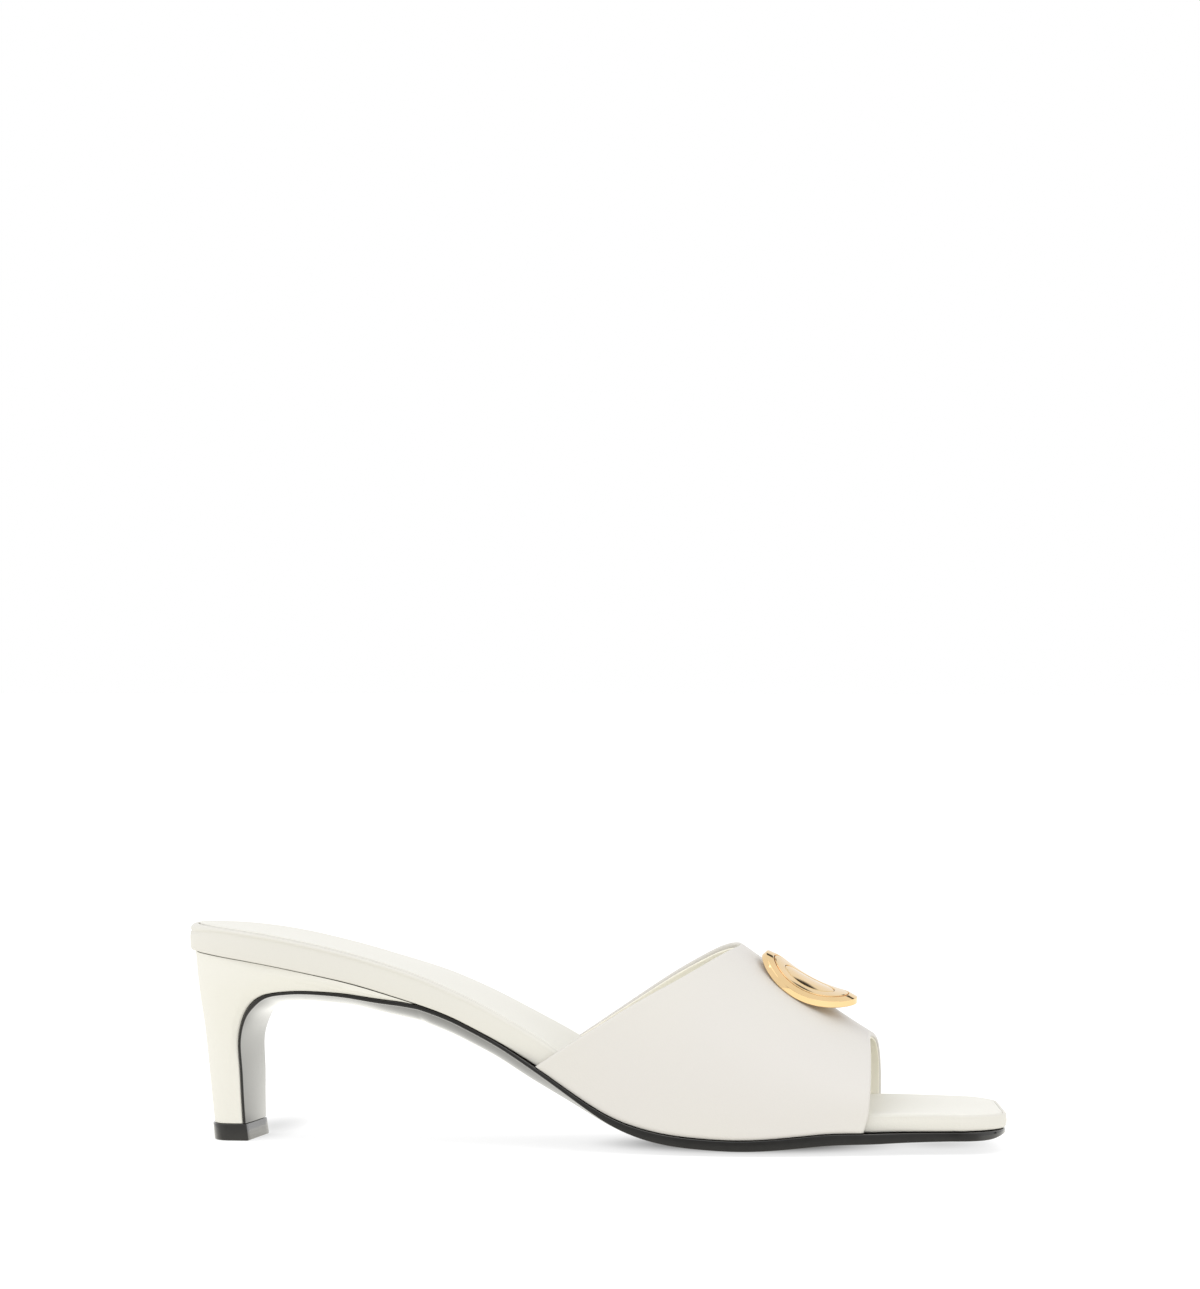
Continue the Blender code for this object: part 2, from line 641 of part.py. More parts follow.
def foot_x(turn):
    """Where the throat line meets the sole, on the lateral side, at 0, or the medial one."""
    return crossing(THROAT, lambda x: under_z(x, 2.0 * turn - 1.0) > throat_z(x, turn))


def front_x(turn):
    """Front edge of the vamp at this turn."""
    return FRONT_X + smooth(FRONT, "offset", turn)


def upper():
    """One hollow band over the foot, open at the throat, at the toe and underneath."""
    turns = [k / VAMP_STEPS_ROUND for k in range(VAMP_STEPS_ROUND + 1)]

    def skin(out):
        rows = []
        for step in range(VAMP_STEPS_LONG + 1):
            share = step / VAMP_STEPS_LONG
            row = []
            for turn in turns:
                start = throat_x(turn)
                row.append(vamp_point(start + (front_x(turn) - start) * share, turn, out))
            feet = []
            for turn in (0.0, 1.0):
                start = foot_x(turn)
                end = front_x(turn) - FRONT_TUCK
                x, y, _ = vamp_point(start + (end - start) * share, turn, out)
                feet.append((x, y, under_z(x, 2.0 * turn - 1.0)))
            rows.append([feet[0], *row, feet[1]])
        return rows
    return closed_solid(skin(WALL), [], skin(0.0))


# ------------------------------------------------------------------ ornament
def vamp_height(x, y):
    """Height of the vamp's outer face over a point of the plan, near the ridge."""
    lateral = y < RIDGE_Y
    roundness = ROUND_LATERAL if lateral else ROUND_MEDIAL
    side = smooth(PLAN, "lateral", x) + RIDGE_Y if lateral else smooth(PLAN, "medial", x) - RIDGE_Y
    share = abs(y - RIDGE_Y) / (side + GAP + WALL)
    rim = rim_z(x)
    return rim + (smooth(RIDGE, "z", x) + WALL - rim) * (1.0 - share ** roundness) ** (1.0 / roundness)


def ornament():
    """Bowed oval plate with a flat ring and a low boss, just off the leather of the ridge."""
    ahead, behind = (vamp_height(ORNAMENT_X + step, ORNAMENT_Y) for step in (1.0, -1.0))
    slope = math.atan(0.5 * (ahead - behind)) + ORNAMENT_PITCH
    forward = Vector((math.cos(slope), 0.0, math.sin(slope)))
    level = Vector((-math.sin(slope), 0.0, math.cos(slope)))
    side = Vector((0.0, 1.0, 0.0))
    sideways = side * math.cos(ORNAMENT_TILT) + level * math.sin(ORNAMENT_TILT)
    upwards = level * math.cos(ORNAMENT_TILT) - side * math.sin(ORNAMENT_TILT)
    centre = Vector((ORNAMENT_X, ORNAMENT_Y, vamp_height(ORNAMENT_X, ORNAMENT_Y)))

    def seat(along, across, height):
        lean = 2.0 * ORNAMENT_SAG * along / ORNAMENT_HALF_LENGTH ** 2
        stretch = math.hypot(1.0, lean)
        bow = ORNAMENT_SAG * (along / ORNAMENT_HALF_LENGTH) ** 2
        bow -= ORNAMENT_DROOP * (across / ORNAMENT_HALF_WIDTH) ** 2
        return tuple(centre + forward * (along - height * lean / stretch) + sideways * across
                     + upwards * (bow + height / stretch))

    rings = []
    for row in OVAL:
        ring = []
        for k in range(ORNAMENT_SIDES):
            angle = 2.0 * math.pi * k / ORNAMENT_SIDES
            ring.append(seat(row.radius * ORNAMENT_HALF_LENGTH * math.cos(angle),
                             row.radius * ORNAMENT_HALF_WIDTH * math.sin(angle), row.height))
        rings.append(ring)
    crown = OVAL[-1].height + ORNAMENT_CROWN
    return ring_solid(rings, seat(0.0, 0.0, OVAL[0].height), seat(0.0, 0.0, crown))


# ------------------------------------------------------------------ shoe
def stand_on_origin(pieces):
    """Moves all meshes so that the shoe stands on z = 0, centred over the origin."""
    corners = [vertex.co for piece in pieces for vertex in piece.data.vertices]
    low = [min(corner[axis] for corner in corners) for axis in range(3)]
    high = [max(corner[axis] for corner in corners) for axis in range(3)]
    shift = Vector((-0.5 * (low[0] + high[0]), -0.5 * (low[1] + high[1]), -low[2]))
    for piece in pieces:
        piece.data.transform(Matrix.Translation(shift))


def main():
    """Builds every piece of the shoe."""
    for old in list(bpy.data.objects):
        bpy.data.objects.remove(old, do_unlink=True)
    pieces = [
        add_piece("outsole", outsole(), BLACK),
        add_piece("footbed", footbed(), IVORY),
        add_piece("insole", insole(), CREAM),
        add_piece("heel", heel(), IVORY),
        add_piece("top_lift", top_lift(), RUBBER),
        add_piece("upper", upper(), IVORY),
        add_piece("ornament", ornament(), GOLD),
    ]
    stand_on_origin(pieces)


main()
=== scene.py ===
"""Finished looks of a heeled slide sandal: an ivory leather mule with an open, square toe.

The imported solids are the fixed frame. Each visible piece is a fine mesh in the place of
its solid, with a procedural material of its own, and rides on the shoe's one body.

Sizes are in millimetres: x runs from the back of the heel seat towards the toe, y from
the shoe's centre line towards the inner (medial) side, and z up from the ground.
Placement turns them into the frame's metres.
"""
import logging
import math
from dataclasses import dataclass, field
from enum import Enum
from functools import cached_property
from typing import Callable, NamedTuple, Sequence

import bpy
import numpy as np
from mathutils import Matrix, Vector

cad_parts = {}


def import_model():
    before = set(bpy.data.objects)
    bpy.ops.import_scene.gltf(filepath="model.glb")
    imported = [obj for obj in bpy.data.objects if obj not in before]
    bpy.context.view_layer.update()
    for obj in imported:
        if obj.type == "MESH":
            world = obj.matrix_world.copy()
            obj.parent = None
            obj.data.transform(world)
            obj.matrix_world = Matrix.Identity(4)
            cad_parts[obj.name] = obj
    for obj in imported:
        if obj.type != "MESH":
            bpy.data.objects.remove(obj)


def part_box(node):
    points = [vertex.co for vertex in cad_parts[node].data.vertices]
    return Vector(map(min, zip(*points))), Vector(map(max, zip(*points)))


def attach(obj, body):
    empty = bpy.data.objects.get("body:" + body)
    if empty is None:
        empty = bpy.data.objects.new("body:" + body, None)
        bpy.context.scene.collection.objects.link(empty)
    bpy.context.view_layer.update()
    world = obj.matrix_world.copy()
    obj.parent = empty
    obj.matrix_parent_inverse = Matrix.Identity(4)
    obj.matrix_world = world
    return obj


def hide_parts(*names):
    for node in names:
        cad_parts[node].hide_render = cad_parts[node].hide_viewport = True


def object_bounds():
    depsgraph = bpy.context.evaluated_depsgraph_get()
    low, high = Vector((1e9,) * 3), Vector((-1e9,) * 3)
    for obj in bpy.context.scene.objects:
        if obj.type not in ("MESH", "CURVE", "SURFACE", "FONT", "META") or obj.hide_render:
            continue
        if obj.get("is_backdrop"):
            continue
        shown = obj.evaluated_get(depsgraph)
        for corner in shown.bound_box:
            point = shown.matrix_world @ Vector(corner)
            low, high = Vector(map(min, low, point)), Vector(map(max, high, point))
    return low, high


LOG = logging.getLogger("mule")
MM = 0.001
GAP = 0.3                 # clearance between neighbouring pieces
BODY = "root"
QUARTER_TURN = 0.5 * math.pi
FULL_TURN = 2.0 * math.pi
ROUNDING_SHARE = 0.48     # a rounding takes up to this share of the sides that meet there
CROWDING = 0.4            # how strongly even_to_edges draws points to the edges
LINING_THICKNESS = 0.5
LAYER_GAP = 0.05          # clearance between lining and leather
LINING_SET_BACK = 0.5     # how far the lining's edges stay behind the leather's
LINING_FOOT = 0.97        # share of the height at the foot that the lining comes down

Array = np.ndarray
Reach = Callable[[Array], Array]
Pair = tuple[float, float]
Triple = tuple[float, float, float]


# ---------------------------------------------------------------- curves and grids
class Spline:
    """Cubic curve through the rows of a table, with continuous curvature."""

    def __init__(self, xs: Sequence[float], ys: Sequence[float], flat_start: bool = False) -> None:
        """Solves for the curve's second derivatives.

        Args:
            xs: positions, rising.
            ys: values at those positions.
            flat_start: whether the curve leaves its first row level.
        """
        self.xs = np.asarray(xs, float)
        self.ys = np.asarray(ys, float)
        count = len(self.xs)
        span = np.diff(self.xs)
        slope = np.diff(self.ys) / span
        system = np.eye(count)
        target = np.zeros(count)
        for k in range(1, count - 1):
            system[k, k - 1:k + 2] = (span[k - 1], 2.0 * (span[k - 1] + span[k]), span[k])
            target[k] = 6.0 * (slope[k] - slope[k - 1])
        if flat_start:
            system[0, :2] = (2.0 * span[0], span[0])
            target[0] = 6.0 * slope[0]
        self.bend = np.linalg.solve(system, target)

    @classmethod
    def through(cls, rows: Sequence[NamedTuple], name: str, flat_start: bool = False) -> "Spline":
        """Curve of one column of a table over the table's first column."""
        return cls([row[0] for row in rows], [getattr(row, name) for row in rows], flat_start)

    def __call__(self, x: Array) -> Array:
        """Value at x, held constant past either end."""
        x = np.clip(np.asarray(x, float), self.xs[0], self.xs[-1])
        k = np.clip(np.searchsorted(self.xs, x, side="right") - 1, 0, len(self.xs) - 2)
        span = self.xs[k + 1] - self.xs[k]
        b = (x - self.xs[k]) / span
        a = 1.0 - b
        curve = (a ** 3 - a) * self.bend[k] + (b ** 3 - b) * self.bend[k + 1]
        return a * self.ys[k] + b * self.ys[k + 1] + curve * span ** 2 / 6.0

    def slope(self, x: Array, step: float = 0.25) -> Array:
        """Rise per unit of x."""
        return (self(x + step) - self(x - step)) / (2.0 * step)


def table(kind: type, *rows: tuple[float, ...]) -> tuple:
    """Table whose rows are named tuples of one kind."""
    return tuple(kind(*row) for row in rows)


def smoothstep(low: float, high: float, x: Array) -> Array:
    """Soft step from 0 at low to 1 at high."""
    t = np.clip((np.asarray(x, float) - low) / (high - low), 0.0, 1.0)
    return t * t * (3.0 - 2.0 * t)


def bisect(low: Array, high: Array, is_before: Callable[[Array], Array], rounds: int = 40) -> Array:
    """Positions between low and high where is_before turns false, found by halving."""
    low, high = np.array(low, float), np.array(high, float)
    for _ in range(rounds):
        middle = 0.5 * (low + high)
        before = is_before(middle)
        low = np.where(before, middle, low)
        high = np.where(before, high, middle)
    return low


def joined(*parts: Array) -> Array:
    """The parts side by side along a new last axis."""
    return np.stack(parts, axis=-1)


def unit(vectors: Array) -> Array:
    """The vectors scaled to length 1."""
    length = np.linalg.norm(vectors, axis=-1, keepdims=True)
    return vectors / np.maximum(length, 1e-9)


def fillet(corners: Sequence[Triple], steps: int = 5) -> Array:
    """Open outline with rounded corners.

    Args:
        corners: (a, b, radius) of each corner, in order. The ends aren't rounded.
        steps: points along each rounding.

    Returns:
        The outline's points as rows (a, b).
    """
    points = [np.array(corner[:2], float) for corner in corners]
    outline = [points[0]]
    for before, here, after, corner in zip(points, points[1:], points[2:], corners[1:]):
        radius = corner[2]
        if radius <= 0.0:
            outline.append(here)
            continue
        to_before, to_after = unit(before - here), unit(after - here)
        half = 0.5 * math.acos(float(np.clip(to_before @ to_after, -1.0, 1.0)))
        sides = np.linalg.norm(before - here), np.linalg.norm(after - here)
        reach = min(radius / math.tan(half), ROUNDING_SHARE * min(sides))
        start, end = here + to_before * reach, here + to_after * reach
        for k in range(steps + 1):
            t = k / steps
            outline.append((1 - t) ** 2 * start + 2 * t * (1 - t) * here + t ** 2 * end)
    outline.append(points[-1])
    return np.array(outline)


def even_to_edges(count: int) -> Array:
    """Shares from 0 to 1 that crowd together at both ends."""
    t = np.linspace(0.0, 1.0, count)
    return (1.0 - CROWDING) * t + CROWDING * 0.5 * (1.0 - np.cos(np.pi * t))


# ---------------------------------------------------------------- meshes
@dataclass
class Shell:
    """Vertices in millimetres and faces of a mesh that is being put together."""

    points: list[Array] = field(default_factory=list)
    faces: list[tuple[int, ...]] = field(default_factory=list)
    total: int = 0

    def add(self, points: Array) -> Array:
        """Takes an array of points and returns their numbers in the same shape."""
        flat = np.asarray(points, float).reshape(-1, 3)
        ids = np.arange(self.total, self.total + len(flat)).reshape(np.shape(points)[:-1])
        self.points.append(flat)
        self.total += len(flat)
        return ids

    def sheet(self, ids: Array, flip: bool = False) -> None:
        """Quads over a grid of point numbers."""
        quads = joined(ids[:-1, :-1], ids[1:, :-1], ids[1:, 1:], ids[:-1, 1:])
        quads = quads.reshape(-1, 4)
        self.faces += [tuple(quad) for quad in (quads[:, ::-1] if flip else quads).tolist()]

    def belt(self, loops: Sequence[Array]) -> None:
        """Quads between closed loops of point numbers, from the lowest to the highest."""
        stack = np.array([np.append(loop, loop[0]) for loop in loops])
        self.sheet(stack.T)

    def fan(self, loop: Array, hub: Array, flip: bool = False) -> None:
        """Triangles from a closed loop to a point."""
        centre = int(self.add(np.asarray(hub, float)[None, :])[0])
        for here, after in zip(loop.tolist(), np.roll(loop, -1).tolist()):
            self.faces.append((centre, after, here) if flip else (centre, here, after))


def border(grid: Array) -> Array:
    """The entries round the edge of a grid, in order."""
    return np.concatenate([grid[:-1, 0], grid[-1, :-1], grid[:0:-1, -1], grid[0, :0:-1]])


def closed_shell(top: Array, rings: Sequence[Array], bottom: Array) -> Shell:
    """Closed mesh of a grid above and one below, joined by border rings from the bottom up."""
    shell = Shell()
    low = shell.add(bottom)
    high = shell.add(top)
    shell.sheet(high)
    shell.sheet(low, flip=True)
    shell.belt([border(low), *(shell.add(ring) for ring in rings), border(high)])
    return shell


def turned_shell(rings: Sequence[Array], low_hub: Array, high_hub: Array) -> Shell:
    """Closed mesh lofted through closed rings from the bottom up, with a fan at each end."""
    shell = Shell()
    loops = [shell.add(ring) for ring in rings]
    shell.belt(loops)
    shell.fan(loops[0], low_hub, flip=True)
    shell.fan(loops[-1], high_hub)
    return shell


def raised(grid: Array, height: Array | float) -> Array:
    """Points (x, y, z) at the height given over a grid or ring of rows (x, y, ...)."""
    level = np.broadcast_to(height, grid.shape[:-1])
    return np.concatenate([grid[..., :2], level[..., None]], axis=-1)


def in_scene(name: str, data: bpy.types.ID) -> bpy.types.Object:
    """New object of that name with that data, in the scene."""
    made = bpy.data.objects.new(name, data)
    bpy.context.scene.collection.objects.link(made)
    return made


@dataclass(frozen=True)
class Placement:
    """Where the shoe's own millimetres lie in the frame."""

    origin: Vector

    def metres(self, points: Array) -> Array:
        """Points in the frame's metres."""
        return np.asarray(points, float) * MM + np.array(self.origin)

    def piece(self, name: str, shell: Shell, material: bpy.types.Material, slot: str, node: str,
              sharp: float = 50.0) -> bpy.types.Object:
        """Named object that rides on the shoe and stands for a solid.

        Args:
            name: the piece's name.
            shell: its mesh.
            material: its finish.
            slot: the material slot of the record; not used.
            node: the solid that it stands for.
            sharp: edges that bend by more than this many degrees stay crisp.

        Returns:
            The new object.
        """
        mesh = bpy.data.meshes.new(name)
        mesh.from_pydata(self.metres(np.concatenate(shell.points)).tolist(), [], shell.faces)
        mesh.validate()
        mesh.shade_smooth()
        mesh.set_sharp_from_angle(angle=math.radians(sharp))
        mesh.materials.append(material)
        piece = in_scene(name, mesh)
        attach(piece, BODY)
        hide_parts(node)
        LOG.info("%s: %d faces, for %s", name, len(mesh.polygons), node)
        return piece


# ---------------------------------------------------------------- the last
class Side(Enum):
    """Side of the foot; the value is the sign of y."""

    LATERAL = -1
    MEDIAL = 1


class PlanRow(NamedTuple):
    """Half-widths of the footbed either side of the centre line."""

    x: float
    lateral: float
    medial: float


class ProfileRow(NamedTuple):
    """Heights of the footbed's rim and underside."""

    x: float
    rim: float
    under: float


class Corner(NamedTuple):
    """Corner of the square toe: end of the flank, the point it is pulled to, start of the front."""

    flank_x: float
    tip_x: float
    tip_y: float
    front_x: float
    front_y: float


@dataclass(frozen=True)
class Last:
    """The form that every piece is fitted to: the footbed's outline and side profile."""

    seat_radius: float = 26.0
    seat_first_angle: float = math.radians(0.6)
    plan: tuple[PlanRow, ...] = table(PlanRow,
        (26.0, 26.0, 26.0), (42.0, 24.9, 24.6), (58.0, 23.9, 22.6), (74.0, 24.0, 21.0),
        (90.0, 25.2, 20.4), (104.0, 27.7, 21.8), (119.0, 31.5, 25.6), (134.0, 35.2, 30.6),
        (147.0, 37.5, 34.7), (160.0, 38.4, 37.5), (174.0, 37.5, 38.6), (187.0, 35.1, 37.7),
        (200.0, 31.8, 35.7), (214.0, 28.4, 33.1), (227.0, 25.5, 31.0))
    lateral_corner: Corner = Corner(229.0, 243.5, -23.2, 241.0, -8.0)
    medial_corner: Corner = Corner(225.0, 234.6, 29.8, 236.6, 17.0)
    corner_pull: float = 0.58
    profile: tuple[ProfileRow, ...] = table(ProfileRow,
        (0.0, 63.9, 56.2), (13.0, 62.7, 54.5), (26.0, 61.0, 52.5), (40.0, 58.3, 49.7),
        (54.0, 54.9, 46.5), (61.0, 52.9, 44.5), (68.0, 50.7, 42.4), (75.0, 48.2, 40.2),
        (82.0, 45.3, 37.6), (89.0, 42.2, 34.3), (96.0, 38.7, 30.8), (103.0, 35.0, 26.9),
        (110.0, 31.1, 22.7), (117.0, 26.6, 18.2), (124.0, 21.6, 13.9), (131.0, 17.1, 10.3),
        (138.0, 14.1, 7.9), (147.0, 12.0, 6.0), (157.0, 10.8, 5.0), (167.0, 10.2, 4.6),
        (177.0, 10.4, 5.0), (188.0, 11.3, 6.0), (200.0, 12.1, 6.9), (213.0, 12.2, 7.3),
        (227.0, 12.05, 7.3), (242.0, 11.7, 7.6))
    toe_bank: float = 0.7         # in front of the vamp the lateral edge lies this much lower
    toe_bank_length: Pair = (190.0, 208.0)
    seat_bank: float = 0.9        # and along the heel seat the medial edge does
    seat_bank_length: Pair = (55.0, 84.0)
    level_back: float = 2.8       # up to here the seat is level from side to side
    seat_flat: float = 0.55       # the back of the seat is this much flatter than its arc
    seat_flat_end: float = 14.0
    seat_hollow: float = 0.8
    seat_hollow_reach: float = 42.0
    seat_steps: int = 30
    flank_steps: int = 150
    corner_steps: int = 24

    @cached_property
    def half_widths(self) -> dict[Side, Spline]:
        """Half-width of the footbed along each side."""
        return {side: Spline.through(self.plan, side.name.lower(), flat_start=True) for side in Side}

    @cached_property
    def rim_curve(self) -> Spline:
        """Side profile of the rim."""
        return Spline.through(self.profile, "rim")

    @cached_property
    def under_curve(self) -> Spline:
        """Side profile of the underside."""
        return Spline.through(self.profile, "under")

    def bank(self, x: Array, v: Array) -> Array:
        """How much lower the footbed lies at v of its half-width."""
        toe = self.toe_bank * smoothstep(*self.toe_bank_length, x)
        seat = self.seat_bank * (1.0 - smoothstep(*self.seat_bank_length, x))
        return 0.5 * (toe * (1.0 - v) + seat * (1.0 + v * self.roundness(x)))

    def roundness(self, x: Array) -> Array:
        """0 at the level back of the seat, 1 where its round ends, along an arc."""
        depth = np.clip((x - self.level_back) / (self.seat_radius - self.level_back), 0.0, 1.0)
        return np.sqrt(1.0 - (1.0 - depth) ** 2)

    def trim(self, x: Array) -> Array:
        """How far the leather lies inside the plan at the back of the seat."""
        return self.seat_flat * (1.0 - smoothstep(0.0, self.seat_flat_end, x))

    def rim(self, x: Array, v: Array = 0.0) -> Array:
        """Height of the footbed's rim, at v of the half-width."""
        return self.rim_curve(x) - self.bank(x, v)

    def under(self, x: Array, v: Array = 0.0) -> Array:
        """Height of the footbed's underside, at v of the half-width."""
        return self.under_curve(x) - self.bank(x, v)

    def share_across(self, x: Array, y: Array) -> Array:
        """Share of the half-width at which points of the plan lie."""
        least = 1.0           # keeps the share finite at the very back
        seat = np.sqrt(np.maximum(self.seat_radius ** 2 - (self.seat_radius - x) ** 2, least))
        flank = np.where(y < 0.0, self.half_widths[Side.LATERAL](x), self.half_widths[Side.MEDIAL](x))
        return np.clip(y / np.where(x < self.seat_radius, seat, flank), -1.0, 1.0)

    def seat_dish(self, x: Array, v: Array) -> Array:
        """Depth of the hollow that the heel of the foot rests in, at v of the half-width."""
        along = np.maximum(0.0, 1.0 - ((x - self.seat_radius) / self.seat_hollow_reach) ** 2)
        return self.seat_hollow * along * self.roundness(x) ** 2 * (1.0 - v * v)

    def outline(self, side: Side) -> Array:
        """One side of the footbed's outline, from the back of the seat to the toe's front."""
        corner = self.lateral_corner if side is Side.LATERAL else self.medial_corner
        angle = np.linspace(self.seat_first_angle, QUARTER_TURN, self.seat_steps, endpoint=False)
        seat = self.seat_radius * joined(1.0 - np.cos(angle), side.value * np.sin(angle))
        x = np.linspace(self.seat_radius, corner.flank_x, self.flank_steps + 1)
        flank = joined(x, side.value * self.half_widths[side](x))
        start, tip = flank[-1], np.array([corner.tip_x, corner.tip_y])
        end = np.array([corner.front_x, corner.front_y])
        near = start + (tip - start) * self.corner_pull
        far = end + (tip - end) * self.corner_pull
        t = (np.arange(1, self.corner_steps + 1) / self.corner_steps)[:, None]
        curve = ((1 - t) ** 3 * start + 3 * t * (1 - t) ** 2 * near
                 + 3 * t ** 2 * (1 - t) * far + t ** 3 * end)
        return np.concatenate([seat, flank, curve])

    def grown(self, side: Side, reach: Reach) -> Array:
        """The side outline moved outwards by reach(x), square to itself."""
        points = self.outline(side)
        along = unit(np.gradient(points, axis=0))
        outwards = joined(-along[:, 1], along[:, 0]) * side.value
        return points + outwards * np.reshape(reach(points[:, 0]), (-1, 1))

    def ladder(self, reach: Reach, shares: Array) -> Array:
        """Rungs across the outline grown by reach(x), from the seat to the toe.

        Args:
            reach: how far past the outline, at x.
            shares: where the points lie on each rung, from 0 on the lateral side to 1.

        Returns:
            Grid of (x, y, v), with v from -1 on the lateral edge to 1 on the medial one.
        """
        lateral = self.grown(Side.LATERAL, reach)[:, None, :]
        medial = self.grown(Side.MEDIAL, reach)[:, None, :]
        s = np.asarray(shares, float)[None, :, None]
        places = lateral + (medial - lateral) * s
        v = np.broadcast_to(2.0 * s - 1.0, (*places.shape[:2], 1))
        return np.concatenate([places, v], axis=-1)

    def leather(self, inset: Reach, shares: Array) -> Array:
        """Rungs across the leather's own outline, drawn in by inset(x)."""
        return self.ladder(lambda x: -inset(x) - self.trim(x), shares)


# ---------------------------------------------------------------- shader building blocks
class Tree:
    """Short hand for adding and joining shader nodes."""

    def __init__(self, tree: bpy.types.NodeTree) -> None:
        """Wraps a node tree."""
        self.tree = tree

    def node(self, kind: str, settings: dict | None = None, **inputs: object) -> bpy.types.Node:
        """New node with its settings, and its inputs set or linked.

        Args:
            kind: the node's type, without its Shader prefix.
            settings: attributes of the node.
            inputs: values or output sockets, by the input's name with _ for a space.

        Returns:
            The node.
        """
        made = self.tree.nodes.new("Shader" + kind)
        for key, value in (settings or {}).items():
            setattr(made, key, value)
        self.fill(made, **inputs)
        return made

    def fill(self, node: bpy.types.Node, **inputs: object) -> None:
        """Sets or links inputs by their names, with _ for a space."""
        for key, value in inputs.items():
            self.put(node, key.replace("_", " "), value)

    def put(self, node: bpy.types.Node, name: str | int, value: object) -> None:
        """Sets an input to a value, or links a socket to it."""
        if isinstance(value, bpy.types.NodeSocket):
            self.tree.links.new(value, node.inputs[name])
        else:
            node.inputs[name].default_value = value

    def result(self, kind: str, settings: dict, values: dict[int, object], output: int = 0) -> object:
        """Output of a new node whose inputs are set or linked by their numbers."""
        made = self.node(kind, settings)
        for number, value in values.items():
            self.put(made, number, value)
        return made.outputs[output]

    def math(self, operation: str, a: object, b: object = 0.0) -> object:
        """Result of a Math node."""
        return self.result("NodeMath", {"operation": operation}, {0: a, 1: b})

    def vector(self, operation: str, a: object, b: object) -> object:
        """Vector that a Vector Math node gives."""
        return self.result("NodeVectorMath", {"operation": operation}, {0: a, 1: b})

    def mix(self, factor: object, a: object, b: object) -> object:
        """Result of mixing two colours."""
        first, second = ((*c, 1.0) if isinstance(c, tuple) else c for c in (a, b))
        return self.result("NodeMix", {"data_type": "RGBA"}, {0: factor, 6: first, 7: second}, 2)

    def ramp(self, value: object, low: float, high: float, to_low: float = 0.0,
             to_high: float = 1.0) -> object:
        """Value mapped smoothly from low..high to to_low..to_high."""
        made = self.node("NodeMapRange", {"interpolation_type": "SMOOTHSTEP"},
                         Value=value, From_Min=low, From_Max=high, To_Min=to_low, To_Max=to_high)
        return made.outputs[0]


def effect_group(name: str, inputs: dict[str, float], outputs: Sequence[str]) -> tuple[
        Tree, bpy.types.Node, bpy.types.Node]:
    """New node group whose sockets are all plain values.

    Args:
        name: the group's name.
        inputs: socket names and their values when nothing else is said.
        outputs: socket names.

    Returns:
        The group's Tree, and its input and output nodes.
    """
    group = bpy.data.node_groups.new(name, "ShaderNodeTree")
    for label, value in inputs.items():
        socket = group.interface.new_socket(label, in_out="INPUT", socket_type="NodeSocketFloat")
        socket.default_value = value
    for label in outputs:
        group.interface.new_socket(label, in_out="OUTPUT", socket_type="NodeSocketFloat")
    return Tree(group), group.nodes.new("NodeGroupInput"), group.nodes.new("NodeGroupOutput")


